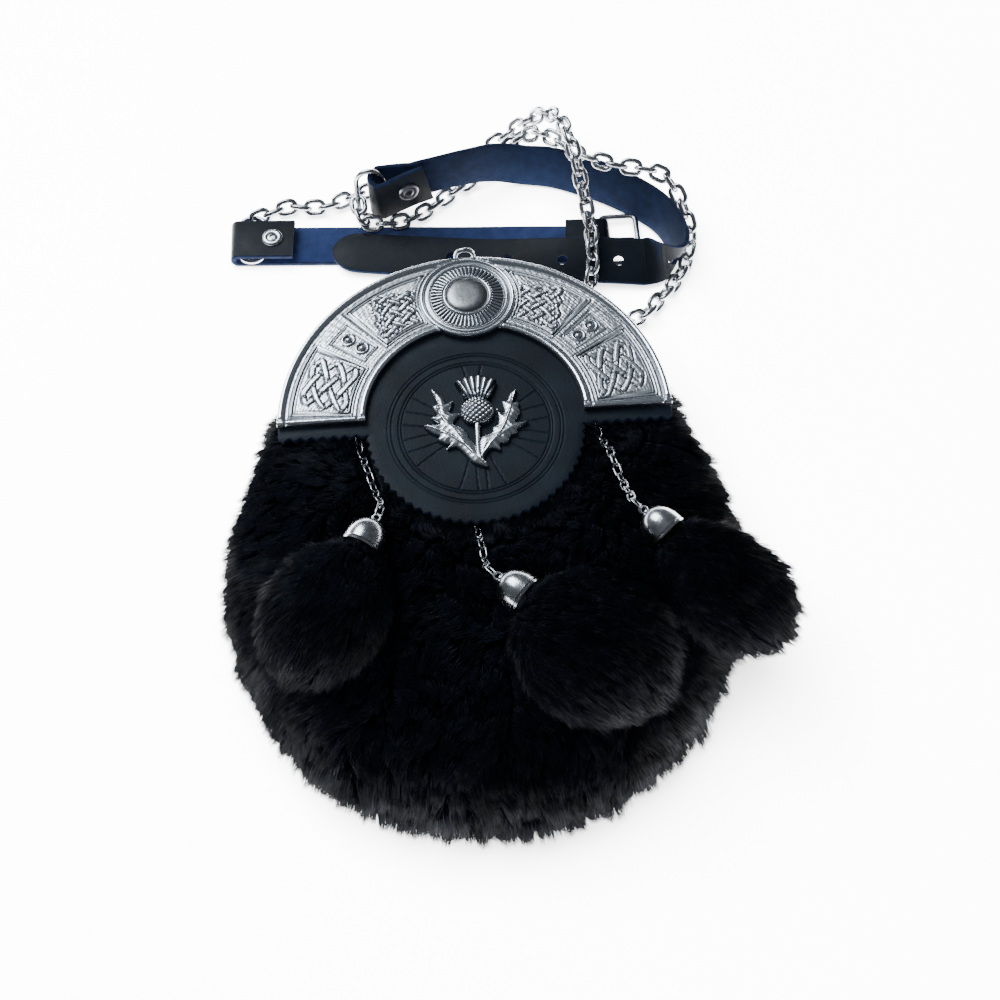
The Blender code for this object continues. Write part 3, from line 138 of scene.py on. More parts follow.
BUCKLE_FOLD_LENGTH = 16.0
CHAIN_RIGHT_ROUTE = (
    (68.5, 62.5, 5.4), (76, 67.5, 4), (80.4, 73, 3.8), (86, 78.5, 3.8),
    (92, 86.5, 3.8), (96.3, 95.5, 4.4), (98.4, 106, 8), (95, 117, 15),
    (88.6, 124.8, 22.8), (79, 127.5, 25.2), (70, 129.5, 25.4), (60, 133.5, 25.5),
    (50, 139, 25.6), (41, 147, 26.8), (32, 154.6, 21.4), (22, 155, 12.5),
    (12, 150, 5.6), (3, 143.5, 3.7), (-5, 137.5, 3.6), (-13, 131, 3.6),
    (-20, 125.5, 4.6), (-27.5, 121.2, 6.8), (-35.5, 120, 8), (-42.5, 121, 8.6),
)
CHAIN_LEFT_ROUTE = (
    (-52, 71.5, 4.2), (-40, 77.5, 4.2), (-18, 83, 4), (6, 83, 4), (26, 79, 4),
    (42, 74, 4.6), (50.5, 76, 7), (53.5, 84, 10.2), (54.6, 94, 14), (54.6, 104, 17),
    (53.4, 114, 20), (51.5, 123, 27), (49.5, 131, 33), (47.5, 139, 36.2),
    (44.5, 149, 35.2), (39.5, 160, 28), (31, 164.5, 18), (20, 164.5, 8.5),
    (8, 158.5, 4.4), (-6, 150, 4), (-20, 145.5, 4), (-34, 144, 4), (-46, 140.5, 4),
    (-56, 135.5, 4), (-66, 134.5, 4), (-75, 136, 4),
)

# Outlines of the badge's parts, x and y
LEAF_LEFT = (
    (-16.5, 13.1), (-13.6, 11), (-11.7, 8.5), (-10.8, 6), (-8.1, 7.3), (-8.9, 4.3),
    (-9.7, 2), (-5.9, 1.1), (-7.6, -1.2), (-8.4, -3.5), (-5.7, -4.9), (-3.8, -6.8),
    (-3, -9.8), (-1.1, -12.3), (1.5, -19.2), (3.7, -22.9), (-0.6, -21.4),
    (-2.5, -20.1), (-4.4, -17.4), (-6.2, -14.9), (-8.2, -13.3), (-11.5, -14.2),
    (-10.1, -12), (-12.1, -11.6), (-14.8, -9.9), (-13.9, -8.2), (-15.9, -7.1),
    (-18.3, -5.2), (-19.5, -3), (-13.7, -3.1), (-15.6, -1.5), (-16.8, 0.1),
    (-14.5, 1.1), (-15.5, 3), (-16.1, 5.4), (-14.1, 5.9), (-15.2, 9),
)
LEAF_RIGHT = (
    (16.3, 11), (13.6, 8.8), (12.4, 5.8), (10.3, 5.4), (11, 1.1), (9.9, 0), (8.3, 2.5),
    (8.6, -1.2), (8.1, -4.7), (6.3, -5.8), (5.7, -8.1), (2, -9.6), (0.9, -12.5),
    (0.5, -19.5), (2, -19), (3.7, -16.2), (5.7, -14.9), (8.7, -16), (8.6, -13),
    (11.4, -12.9), (13.1, -9.8), (15.6, -9.1), (15.2, -7.6), (18.4, -5.4), (20, -3.8),
    (15, -4), (16.2, -1.7), (17.3, 0.6), (16.7, 2.5), (17.1, 4.9), (14.6, 5.1),
    (15.9, 8.6),
)
CROWN = (
    (-7.2, 15.2), (-5.2, 15.7), (-2.5, 17), (0.6, 17.7), (3.6, 17.5), (6.1, 16),
    (9, 14.8), (6.7, 9.3), (5.1, 7), (-3, 7.5), (-4.9, 10.7),
)
STEM = (
    (-0.4, -3), (1.7, -3), (1.4, -10.2), (1.9, -18), (3.9, -22.6), (0.6, -20.9),
    (-0.9, -17.7), (-0.5, -10),
)
VEINS_LEFT = (
    ((0.5, -19.5), (-4.2, -13.3), (-8.8, -5.9), (-13, 0.4), (-15.1, 10.2)),
    ((-4.2, -13.3), (-9.9, -8.8), (-18.5, -3.4)),
)
VEINS_RIGHT = (
    ((0.5, -19.5), (5.4, -12.8), (9.7, -7.2), (12.7, -0.2), (16, 10.4)),
    ((5.4, -12.8), (10.7, -8.5), (19.5, -4)),
)


# Sizes of the looks alone
STITCH_ROWS = ((3.6, 0.0), (26.0, 2.2))
STITCH_PITCH = 3.4
STITCH_LENGTH = 2.3
STITCH_THREAD = 0.35
POUCH_STRANDS = 144000
TASSEL_STRANDS = 15000
STRAND_RADII = np.array((0.24, 0.37)) * 1.0
# Each row: rise over the surface, run along the flow, two sizes of clump as spacing,
# pull and spread, depth of the roots and their jitter
POUCH_COMB = ((-1.2, 0.9), (0.0, 2.2), (4.2, 0.3, 0.7), (1.9, 0.35, 0.7), 7.0, 0.5)
TASSEL_COMB = ((-1.2, 0.6), (-2.0, 1.2), (3.4, 0.25, 0.45), (1.7, 0.3, 0.5), 5.5, 0.4)
GLOBE_MIDDLE = (0.8, 1.5)
GLOBE_REACH = (6.4, 5.9)
THISTLE_CELL = 0.27
CANTLE_COLUMNS = 190
CANTLE_ROWS = 97
FLAP_COLUMNS = 540
MEDALLION_COLUMNS = 364
FLUTES = 52
CAMERA_PLACE = (-5.2, -307.1, 515.8)
CAMERA_AHEAD = (0.0222, 0.4907, -0.8711)
CAMERA_UP = (0.0618, 0.8689, 0.491)


# Small helpers


def unit(vectors):
    vectors = np.asarray(vectors, float)
    return vectors / np.maximum(np.linalg.norm(vectors, axis=-1, keepdims=True), 1e-9)


def smooth_step(share):
    share = np.clip(share, 0.0, 1.0)
    return share * share * (3.0 - 2.0 * share)


def hump(distance, half_width):
    """One at no distance, easing to nothing at the half width."""
    return 1.0 - smooth_step(np.abs(distance) / half_width)


def rounded(points, steps, closed=False):
    """A Catmull-Rom curve through the points, with this many steps to each span."""
    points = np.asarray(points, float)
    count = len(points)
    share = np.arange(steps)[:, None] / steps
    out = []
    for i in range(count if closed else count - 1):
        if closed:
            a, b, c, d = (points[(i + k) % count] for k in (-1, 0, 1, 2))
        else:
            b, c = points[i], points[i + 1]
            a = points[i - 1] if i else 2 * b - c
            d = points[i + 2] if i + 2 < count else 2 * c - b
        square, cube = share**2, share**3
        curve = 2 * b + (c - a) * share + (2 * a - 5 * b + 4 * c - d) * square
        out.append(0.5 * (curve + (3 * b - a - 3 * c + d) * cube))
    if not closed:
        out.append(points[-1:])
    return np.concatenate(out)


def arc(radius, start, end, steps, centre=(0.0, 0.0)):
    angles = np.radians(np.linspace(start, end, steps + 1))
    flat = np.column_stack([np.cos(angles), np.sin(angles)])
    return np.array(centre) + radius * flat


def lengths(path):
    steps = np.linalg.norm(np.diff(path, axis=0), axis=1)
    return np.concatenate([[0.0], np.cumsum(steps)])


def at_places(path, places):
    along = lengths(path)
    columns = [np.interp(places, along, path[:, k]) for k in range(path.shape[1])]
    return np.column_stack(columns)


# Shapes: each is (points, faces)


def ring_faces(rings, count, closed=False, caps=True):
    faces = []
    for i in range(rings if closed else rings - 1):
        here, there = i * count, (i + 1) % rings * count
        for j in range(count):
            k = (j + 1) % count
            faces.append((here + j, here + k, there + k, there + j))
    if caps and not closed:
        faces.append(tuple(reversed(range(count))))
        faces.append(tuple((rings - 1) * count + j for j in range(count)))
    return faces


def stack(rings, closed=False):
    return np.concatenate(rings), ring_faces(len(rings), len(rings[0]), closed)


def merged(shapes):
    points, faces, start = [], [], 0
    for more_points, more_faces in shapes:
        points.append(more_points)
        faces.extend(tuple(start + i for i in face) for face in more_faces)
        start += len(more_points)
    return np.concatenate(points), faces


def prism(outline, low, high):
    flat = np.asarray(outline, float)[:, :2]
    return stack([np.column_stack([flat, np.full(len(flat), z)]) for z in (low, high)])


def box(low, high):
    (x0, y0, z0), (x1, y1, z1) = low, high
    return prism(((x0, y0), (x1, y0), (x1, y1), (x0, y1)), z0, z1)


def turned(profile, origin, axis, sides):
    """A (distance, radius) profile turned about an axis."""
    side = unit(np.cross(axis, (0.31, 0.17, 0.93)))
    rise = np.cross(axis, side)
    angles = 2 * math.pi * np.arange(sides) / sides
    circle = np.cos(angles)[:, None] * side + np.sin(angles)[:, None] * rise
    return stack([origin + axis * along + circle * radius for along, radius in profile])


def swept(path, radius, sides, up=None, closed=False):
    """A round wire; up is the normal of its plane where it has one."""
    path = np.asarray(path, float)
    if closed:
        along = unit(np.roll(path, -1, axis=0) - np.roll(path, 1, axis=0))
    else:
        along = unit(np.gradient(path, axis=0))
    angles = 2 * math.pi * (np.arange(sides) + 0.5) / sides
    side = unit(np.cross(along[0], (0.31, 0.17, 0.93)))
    rings = []
    for point, ahead in zip(path, along):
        if up is None:
            side = unit(side - ahead * np.dot(side, ahead))
        else:
            side = unit(np.cross(up, ahead))
        rise = np.cross(ahead, side)
        circle = np.cos(angles)[:, None] * side + np.sin(angles)[:, None] * rise
        rings.append(point + radius * circle)
    return stack(rings, closed)


def stadium(length, width, steps):
    """Middle line of an oval lying along x."""
    radius = width / 2
    angles = math.pi * (np.arange(steps) / (steps - 1) - 0.5)
    bow = np.column_stack([radius * np.cos(angles), radius * np.sin(angles)])
    bow[:, 0] += length / 2 - radius
    return np.concatenate([bow, -bow])


def oval_ring(centre, along, across, length, width, wire, steps=14, sides=12):
    flat = stadium(length - wire, width - wire, steps)
    path = centre + flat[:, :1] * along + flat[:, 1:] * across
    return swept(path, wire / 2, sides, up=np.cross(along, across), closed=True)


# Meshes and pieces


def tidy_normals(mesh):
    """Turns every face of closed bodies outwards."""
    work = bmesh.new()
    work.from_mesh(mesh)
    bmesh.ops.recalc_face_normals(work, faces=work.faces)
    work.to_mesh(mesh)
    work.free()


def new_object(name, points, faces, *materials, smooth=40.0):
    mesh = bpy.data.meshes.new(name)
    points = np.asarray(points, float) * MM
    if isinstance(faces, np.ndarray):
        count, corners = faces.shape
        mesh.vertices.add(len(points))
        mesh.vertices.foreach_set("co", points.ravel())
        mesh.loops.add(faces.size)
        mesh.loops.foreach_set("vertex_index", faces.ravel().astype(np.int32))
        mesh.polygons.add(count)
        mesh.polygons.foreach_set("loop_start", np.arange(count, dtype=np.int32) * corners)
        mesh.update(calc_edges=True)
    else:
        mesh.from_pydata(points.tolist(), [], faces)
        mesh.update()
        tidy_normals(mesh)
    mesh.shade_smooth()
    if smooth:
        mesh.set_sharp_from_angle(angle=math.radians(smooth))
    for material in materials:
        mesh.materials.append(material)
    obj = bpy.data.objects.new(name, mesh)
    bpy.context.scene.collection.objects.link(obj)
    return obj


def set_values(obj, name, values):
    layer = obj.data.attributes.new(name, "FLOAT", "POINT")
    layer.data.foreach_set("value", np.asarray(values, np.float32))


def keep(obj, slot, *nodes):
    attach(obj, "root")
    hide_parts(*nodes)
    return obj


def cut(target, *others):
    """Takes each other object out of the target."""
    for other in others:
        modifier = target.modifiers.new("cut", "BOOLEAN")
        modifier.operation = "DIFFERENCE"
        modifier.solver = "EXACT"
        modifier.object = other
        with bpy.context.temp_override(object=target, active_object=target):
            bpy.ops.object.modifier_apply(modifier=modifier.name)
        bpy.data.objects.remove(other)


# Materials


def new_material(name, colour, roughness, metallic=0.0, **sockets):
    material = bpy.data.materials.new(name)
    material.use_nodes = True
    shader = shader_of(material)
    shader.inputs["Base Color"].default_value = (*colour, 1.0)
    shader.inputs["Roughness"].default_value = roughness
    shader.inputs["Metallic"].default_value = metallic
    for socket, value in sockets.items():
        shader.inputs[socket.replace("_", " ")].default_value = value
    return material


def link(material, source, target):
    material.node_tree.links.new(source, target)


def shader_of(material):
    return material.node_tree.nodes["Principled BSDF"]


def add_node(material, kind, **settings):
    node = material.node_tree.nodes.new(kind)
    for name, value in settings.items():
        if name in node.inputs:
            node.inputs[name].default_value = value
        else:
            setattr(node, name, value)
    return node


def noise(material, scale, detail=4.0, kind="ShaderNodeTexNoise", output="Fac"):
    """A noise in the object's own space, its scale in waves to a metre."""
    place = add_node(material, "ShaderNodeTexCoord")
    node = add_node(material, kind)
    node.inputs["Scale"].default_value = scale
    if "Detail" in node.inputs:
        node.inputs["Detail"].default_value = detail
    link(material, place.outputs["Object"], node.inputs["Vector"])
    return node.outputs[output]


def tint(material, factor, low, high, start=0.3, end=0.7):
    """The base colour runs between two colours as the factor goes from start to end."""
    ramp = add_node(material, "ShaderNodeValToRGB")
    ramp.color_ramp.elements[0].position = start
    ramp.color_ramp.elements[1].position = end
    ramp.color_ramp.elements[0].color = (*low, 1.0)
    ramp.color_ramp.elements[1].color = (*high, 1.0)
    shader = shader_of(material)
    link(material, factor, ramp.inputs["Fac"])
    link(material, ramp.outputs["Color"], shader.inputs["Base Color"])


def vary_roughness(material, factor, low, high):
    spread = add_node(material, "ShaderNodeMapRange")
    spread.inputs["To Min"].default_value = low
    spread.inputs["To Max"].default_value = high
    shader = shader_of(material)
    link(material, factor, spread.inputs["Value"])
    link(material, spread.outputs["Result"], shader.inputs["Roughness"])


def add_bump(material, height, distance, strength=1.0):
    shader = shader_of(material)
    bump = add_node(material, "ShaderNodeBump")
    bump.inputs["Distance"].default_value = distance
    bump.inputs["Strength"].default_value = strength
    link(material, height, bump.inputs["Height"])
    normal = shader.inputs["Normal"]
    if normal.is_linked:
        link(material, normal.links[0].from_socket, bump.inputs["Normal"])
    link(material, bump.outputs["Normal"], normal)


def attribute(material, name):
    return add_node(material, "ShaderNodeAttribute", attribute_name=name).outputs["Fac"]


def make_fur_material():
    material = new_material("fur", (0.01, 0.011, 0.014), 0.5, Specular_IOR_Level=0.1)
    tone = attribute(material, "tone")
    tint(material, tone, (0.0009, 0.0012, 0.002), (0.004, 0.0057, 0.0112), 0.0, 1.0)
    vary_roughness(material, tone, 0.6, 0.42)
    return material


def make_skin_material():
    material = new_material("fur_skin", (0.004, 0.004, 0.005), 0.8)
    add_bump(material, noise(material, 900.0), 0.0005)
    return material


def make_leather_material(name, low, high, roughness):
    material = new_material(name, high, roughness, Specular_IOR_Level=0.11)
    tint(material, noise(material, 60.0), low, high)
    vary_roughness(material, noise(material, 240.0), roughness - 0.1, roughness + 0.14)
    pores = noise(material, 1500.0, kind="ShaderNodeTexVoronoi", output="Distance")
    add_bump(material, pores, 0.00012, 0.4)
    add_bump(material, noise(material, 300.0), 0.00025, 0.25)
    return material


def make_suede_material(name, low, high, sheen=0.08):
    sockets = {"Specular_IOR_Level": 0.08, "Sheen_Weight": sheen, "Sheen_Roughness": 0.6}
    material = new_material(name, high, 0.95, **sockets)
    tint(material, noise(material, 220.0, 6.0), low, high)
    add_bump(material, noise(material, 2200.0, 3.0), 0.0004, 0.8)
    return material


def make_cast_material(name, bright, dark, roughness):
    """Cast metal, darker where the patina value of the mesh is high."""
    material = new_material(name, bright, roughness, 1.0)
    worn = noise(material, 700.0, 5.0)
    mix = add_node(material, "ShaderNodeMath", operation="MULTIPLY_ADD")
    mix.inputs[1].default_value = 0.35
    link(material, worn, mix.inputs[0])
    link(material, attribute(material, "patina"), mix.inputs[2])
    tint(material, mix.outputs["Value"], bright, dark, 0.22, 1.1)
    vary_roughness(material, mix.outputs["Value"], roughness - 0.06, roughness + 0.3)
    add_bump(material, worn, 0.00012, 0.5)
    return material


def make_wire_material(name, colour, roughness):
    material = new_material(name, colour, roughness, 1.0)
    cloud = noise(material, 400.0)
    tint(material, cloud, tuple(0.72 * c for c in colour), colour)
    vary_roughness(material, cloud, roughness, roughness + 0.12)
    add_bump(material, noise(material, 1500.0), 0.00008, 0.4)
    return material


FUR = make_fur_material()
SKIN = make_skin_material()
FLAP_TONES = ((0.0026, 0.0046, 0.0078), (0.0058, 0.0098, 0.0162))
STRAP_TONES = ((0.0016, 0.0028, 0.005), (0.0038, 0.0064, 0.0108))
LEATHER_FLAP = make_leather_material("flap_leather", *FLAP_TONES, 0.48)
LEATHER_STRAP = make_leather_material("strap_leather", *STRAP_TONES, 0.46)
CUT_EDGE = make_suede_material("cut_edge", (0.003, 0.006, 0.018), (0.007, 0.013, 0.036), 0.02)
SUEDE_BLUE = make_suede_material("suede_blue", (0.009, 0.019, 0.068), (0.017, 0.032, 0.108))
SUEDE_NAVY = make_suede_material("suede_navy", (0.0025, 0.0065, 0.021), (0.0045, 0.011, 0.034), 0.01)
CAST = make_cast_material("cast_silver", (0.7, 0.735, 0.79), (0.04, 0.044, 0.054), 0.2)
SATIN = make_cast_material("satin_dome", (0.2, 0.205, 0.215), (0.06, 0.06, 0.07), 0.3)
STEEL = make_wire_material("steel_wire", (0.47, 0.48, 0.51), 0.17)
GUNMETAL = make_wire_material("gunmetal", (0.2, 0.2, 0.22), 0.24)
THREAD = make_suede_material("thread", (0.01, 0.011, 0.014), (0.03, 0.032, 0.038))


# The pouch


def pouch_outline(steps=4):
    half = np.array(POUCH_OUTLINE) * (POUCH_LENGTH, POUCH_WIDTH / 2)
    right = np.column_stack([half[:, 1], POUCH_TOP_Y - half[:, 0]])
    left = right[-2:0:-1] * (-1.0, 1.0)
    return rounded(np.concatenate([right, left]), steps, closed=True)


def outward(outline):
    along = np.roll(outline, -1, axis=0) - np.roll(outline, 1, axis=0)
    normals = unit(np.column_stack([along[:, 1], -along[:, 0]]))
    middle = np.array((0.0, POUCH_TOP_Y - POUCH_LENGTH / 2))
    return normals * np.sign(np.sum(normals * (outline - middle)))


def pouch_solid(grow, straight_down=False):
    outline = pouch_outline()
    normals = outward(outline)
    profile = POUCH_PROFILE
    if straight_down:
        profile = [(-1.0, 0.0)] + [row for row in profile if row[0] > 0.1]
    rings = []
    for share, inset in profile:
        height = share * POUCH_DEPTH + grow * min(max(2.0 * share - 1.0, -1.0), 1.0)
        flat = outline + normals * (grow - inset * POUCH_DEPTH)
        rings.append(np.column_stack([flat, np.full(len(flat), height)]))
    return stack(rings[::-1])


def make_pouch():
    pouch = new_object("pouch_leather", *pouch_solid(0.0), LEATHER_STRAP)
    hollow = new_object("hollow", *pouch_solid(-LEATHER), LEATHER_STRAP)
    half, far = MOUTH_WIDTH / 2, POUCH_WIDTH
    mouth = new_object("mouth", *box((-half, MOUTH_Y, LEATHER), (half, far, 60.0)), LEATHER_STRAP)
    cut(pouch, hollow, mouth)
    keep(pouch, "black_leather", "pouch_shell")


def make_stitches():
    """Rows of stitches round the pouch where no fur covers it."""
    outline = pouch_outline(24)
    normals = outward(outline)
    ring = np.concatenate([outline, outline[:1]])
    along = lengths(ring)
    stitches = []
    for level, inset in STITCH_ROWS:
        for place in np.arange(0.0, along[-1], STITCH_PITCH):
            ends = at_places(ring, (place, place + STITCH_LENGTH))
            out = normals[int(np.searchsorted(along, place)) % len(outline)]
            in_mouth = abs(ends[0, 0]) < MOUTH_WIDTH / 2 + 1.0 and inset
            if ends[0, 1] < FUR_END + 2.0 or in_mouth:
                continue
            path = np.column_stack([ends + out * (0.15 - inset), np.full(2, level)])
            path = np.array([path[0], path.mean(0) + (*out * 0.15, 0.0), path[1]])
            stitches.append(swept(path, STITCH_THREAD, 6))
    keep(new_object("pouch_stitches", *merged(stitches), THREAD), "black_leather", "pouch_shell")


# Fur


def fur_share(x, y):
    """Nothing where the flap presses the fur, one where it stands at its full height."""
    to_tongue = np.hypot(x, y + TONGUE_DROP) - TONGUE_RADIUS
    to_strip = np.where(np.abs(x) < CANTLE_RADIUS, np.maximum(-FOOT_STRIP - y, 0.0), 100.0)
    return smooth_step(np.minimum(to_tongue, to_strip) / FUR_EDGE)


def fur_height(x, y):
    return FUR_FLAT + (FUR_TOP - FUR_FLAT) * fur_share(x, y)


def fur_surface(sink):
    """Rings of the fur's outer surface, or of the skin this far under it."""
    outline = pouch_outline()
    normals = outward(outline)
    depth = FUR_SIDE * smooth_step((FUR_END + 14.0 - outline[:, 1]) / 28.0)
    depth = np.maximum(depth - sink, 0.5 if sink else 0.0)[:, None]
    full = FUR_TOP - 0.8 * sink
    rings = []
    for share, out in rounded(FUR_PROFILE, 3):
        flat = outline + normals * (depth * out if out > 0 else FUR_SIDE * out)
        heights = np.full(len(flat), share * full)
        if out < 0:
            limit = fur_height(*flat.T) - sink * fur_share(*flat.T)
            heights = np.minimum(heights, limit)
        rings.append(np.column_stack([flat, heights]))
    last = rings[-1][:, :2]
    middle = np.array((0.0, POUCH_TOP_Y - POUCH_LENGTH / 2 - 10.0))
    for scale in FUR_RINGS:
        flat = middle + (last - middle) * scale
        heights = fur_height(*flat.T) - sink * fur_share(*flat.T)
        rings.append(np.column_stack([flat, heights]))
    return rings


def vertex_normals(points, tris):
    a, b, c = (points[tris[:, k]] for k in range(3))
    face = np.cross(b - a, c - a)
    normals = np.zeros_like(points)
    for k in range(3):
        np.add.at(normals, tris[:, k], face)
    return unit(normals)


def scattered(points, faces, count, rng):
    """Random places on a surface, with its normals there."""
    quads = np.array([face for face in faces if len(face) == 4])
    tris = np.concatenate([quads[:, (0, 1, 2)], quads[:, (0, 2, 3)]])
    normals = vertex_normals(points, tris)
    a, b, c = (points[tris[:, k]] for k in range(3))
    area = np.linalg.norm(np.cross(b - a, c - a), axis=1)
    chosen = rng.choice(len(tris), count, p=area / area.sum())
    u, v = rng.random((2, count))
    over = u + v > 1.0
    u, v = np.where(over, 1.0 - u, u), np.where(over, 1.0 - v, v)
    weights = np.column_stack([1.0 - u - v, u, v])[:, :, None]
    place = np.sum(points[tris[chosen]] * weights, axis=1)
    normal = unit(np.sum(normals[tris[chosen]] * weights, axis=1))
    return place, normal


def swirled(flow, normals, place, share):
    """The flow turned about the normals by a soft swirl some centimetres across."""
    x, y, z = place.T
    turn = 0.55 * np.sin(x / 9.0 + 1.3 * np.sin(y / 14.0)) + 0.5 * np.sin(y / 7.5 + z / 9.0 + x / 21.0)
    turn = share * (turn + 0.35 * np.sin(x / 4.1 - y / 5.3))
    return flow * np.cos(turn)[:, None] + np.cross(normals, flow) * np.sin(turn)[:, None]


def gathered(tips, normals, spacing, pull, spread, rng):
    """Tips drawn together into clumps that each have a lean and a height of their own."""
    count = max(8, int(len(tips) * 0.16 / spacing**2))
    centres = tips[rng.choice(len(tips), count, replace=False)]
    tree = kdtree.KDTree(count)
    for i, centre in enumerate(centres):
        tree.insert(Vector(centre), i)
    tree.balance()
    nearest = np.array([tree.find(Vector(tip))[1] for tip in tips])
    lean = rng.normal(0.0, 0.32 * spread * spacing, (count, 3))
    rise = rng.normal(0.0, 0.8 * spread, count)
    towards = centres[nearest] - tips
    away = np.linalg.norm(towards, axis=1)[:, None]
    towards = towards * np.minimum(1.0, spacing / np.maximum(away, 0.01))
    moved = tips + towards * pull + lean[nearest] + normals * rise[nearest][:, None]
    return moved, nearest


def strand_mesh(roots, tips, widths, rng):
    """A slim three-sided spike for each strand."""
    count = len(roots)
    along = unit(tips - roots)
    side = unit(np.cross(along, rng.normal(size=(count, 3))))
    over = np.cross(along, side)
    points = np.empty((count, 4, 3))
    for k in range(3):
        turn = 2 * math.pi * k / 3
        points[:, k] = roots + (math.cos(turn) * side + math.sin(turn) * over) * widths[:, None]
    points[:, 3] = tips
    faces = np.array(((0, 2, 1), (0, 1, 3), (1, 2, 3), (2, 0, 3)))
    faces = faces[None] + 4 * np.arange(count)[:, None, None]
    return points.reshape(-1, 3), faces.reshape(-1, 3)


def strand_pieces(name, roots, tips, widths, tones, rng, parts, *nodes):
    """The strands as closed meshes, split into pieces of a moderate size."""
    order = np.arange(len(roots)) * parts // len(roots)
    for part in range(parts):
        own = order == part
        shape = strand_mesh(roots[own], tips[own], widths[own], rng)
        label = f"{name}_{part + 1}" if parts > 1 else name
        obj = new_object(label, *shape, FUR, smooth=None)
        set_values(obj, "tone", np.repeat(tones[own], 4))
        keep(obj, "black_fur", *nodes)


def nearest_on_path(points, path):
    """Distance to a path of straight steps, and the steps along it of the nearest place."""
    best, where = np.full(len(points), 1e9), np.zeros(len(points))
    for step, (a, b) in enumerate(zip(path[:-1], path[1:])):
        edge = b - a
        share = np.clip((points - a) @ edge / max(edge @ edge, 1e-9), 0.0, 1.0)
        away = np.linalg.norm(points - a - share[:, None] * edge, axis=1)
        closer = away < best
        best = np.where(closer, away, best)
        where = np.where(closer, step + share, where)
    return best, where


def combed(place, normal, flow, comb, back, rng):
    """Roots, tips, radii and tones of strands that start this far back along the flow."""
    rise, run, clumps, tufts, depth, jitter = comb
    count = len(place)
    tips = place + normal * rng.uniform(*rise, count)[:, None]
    tips += flow * rng.uniform(*run, count)[:, None]
    tips, clump = gathered(tips, normal, *clumps, rng)
    tips, _ = gathered(tips, normal, *tufts, rng)
    tips += rng.normal(0.0, 0.5, (count, 3))
    roots = place - normal * depth - flow * back + rng.normal(0.0, jitter, (count, 3))
    tones = np.clip(rng.random(clump.max() + 1)[clump] * 0.6 + rng.random(count) * 0.4, 0, 1)
    return roots, tips, rng.uniform(*STRAND_RADII, count), tones


def make_hide():
    far = 2 * POUCH_WIDTH
    skin = new_object("fur_hide", *stack(fur_surface(6.0)[::-1]), SKIN)
    others = (
        ("behind", box((-far, FUR_END, -far), (far, far, 30.6))),
        ("inner", pouch_solid(GAP + 0.05, straight_down=True)),
        ("below", box((-far, -far, -far), (far, far, 1.3))),
        ("above", box((-far, MOUTH_Y - 1.0, -far), (far, far, far))),
        ("under", prism(flap_outline(1.0, False), FLAP_BOTTOM - GAP, 90.0)),
    )
    cut(skin, *(new_object(name, *shape, SKIN) for name, shape in others))
    keep(skin, "black_fur", "fur_front")


def make_pouch_fur():
    rng = np.random.default_rng(11)
    place, normal = scattered(*stack(fur_surface(0.0)), POUCH_STRANDS, rng)
    if np.mean(normal[place[:, 2] > 40.0][:, 2]) < 0:
        normal = -normal
    x, y, z = place.T
    in_arch = (np.abs(x) < CANTLE_RADIUS + 0.5) & (y > -FOOT_STRIP - 0.6)
    in_tongue = np.hypot(x, y + TONGUE_DROP) < TONGUE_RADIUS + 0.7
    kept = ~((z > 31.0) & (in_arch | in_tongue)) & (y < FUR_END - 1.0) & (z > 1.5)
    for row in TASSELS:
        kept &= ~inside_tassel(place, row)
    place, normal = place[kept], normal[kept]
    count = len(place)
    flow = unit(np.column_stack([place[:, 0] * 0.006, np.full(count, -1.0), np.full(count, -0.12)]))
    flow = flow - normal * np.sum(flow * normal, axis=1)[:, None]
    flow = swirled(flow, normal, place, 0.6)
    roots, tips, radii, tones = combed(place, normal, flow, POUCH_COMB, 6.5, rng)
    for row in TASSELS:
        near = nearest_on_path(tips, tassel_chain_route(row))[0] < 3.4
        level = fur_height(tips[:, 0], tips[:, 1]) - 0.8
        tips[:, 2] = np.where(near, np.minimum(tips[:, 2], level), tips[:, 2])
    tips[:, 2] = np.maximum(tips[:, 2], 0.3)
    roots[:, 2] = np.maximum(roots[:, 2], 1.5)
    order = np.argsort(place[:, 0])
    strands = [part[order] for part in (roots, tips, radii, tones)]
    strand_pieces("pouch_fur", *strands, rng, 3, "fur_front")


# Tassels


def tassel_frame(row):
    turn, fall = math.radians(row[3]), math.radians(row[4])
    flat = math.cos(fall)
    along = np.array((math.cos(turn) * flat, math.sin(turn) * flat, -math.sin(fall)))
    across = unit(np.cross(Z_AXIS, along))
    return np.array((row[1], row[2], row[8])), along, across, np.cross(along, across)


def tassel_rings(row, grow=0.0, sides=36, steps=4):
    origin, along, across, over = tassel_frame(row)
    length, width, thick = row[5:8]
    start = origin + along * (CAP_LENGTH + GAP)
    angles = 2 * math.pi * np.arange(sides) / sides
    rings = []
    for share, radius in rounded(TASSEL_PROFILE, steps):
        place = start + along * (share * length + grow * (2 * share - 1))
        wide = radius * width / 2
        tall = min(wide, radius * thick / 2 + 1.5)
        wide, tall = max(wide + grow, 0.4), max(tall + grow, 0.4)
        ring = np.cos(angles)[:, None] * across * wide + np.sin(angles)[:, None] * over * tall
        rings.append(place + ring)
    return rings


def inside_tassel(points, row):
    """True for points well inside a tassel's body."""
    origin, along, across, over = tassel_frame(row)
    length, width, thick = row[5:8]
    offset = points - origin - along * (CAP_LENGTH + length / 2)
    flat = (offset @ along) / (length / 2), (offset @ across) / (width / 2)
    return flat[0] ** 2 + flat[1] ** 2 + ((offset @ over) / (thick / 2)) ** 2 < 0.7


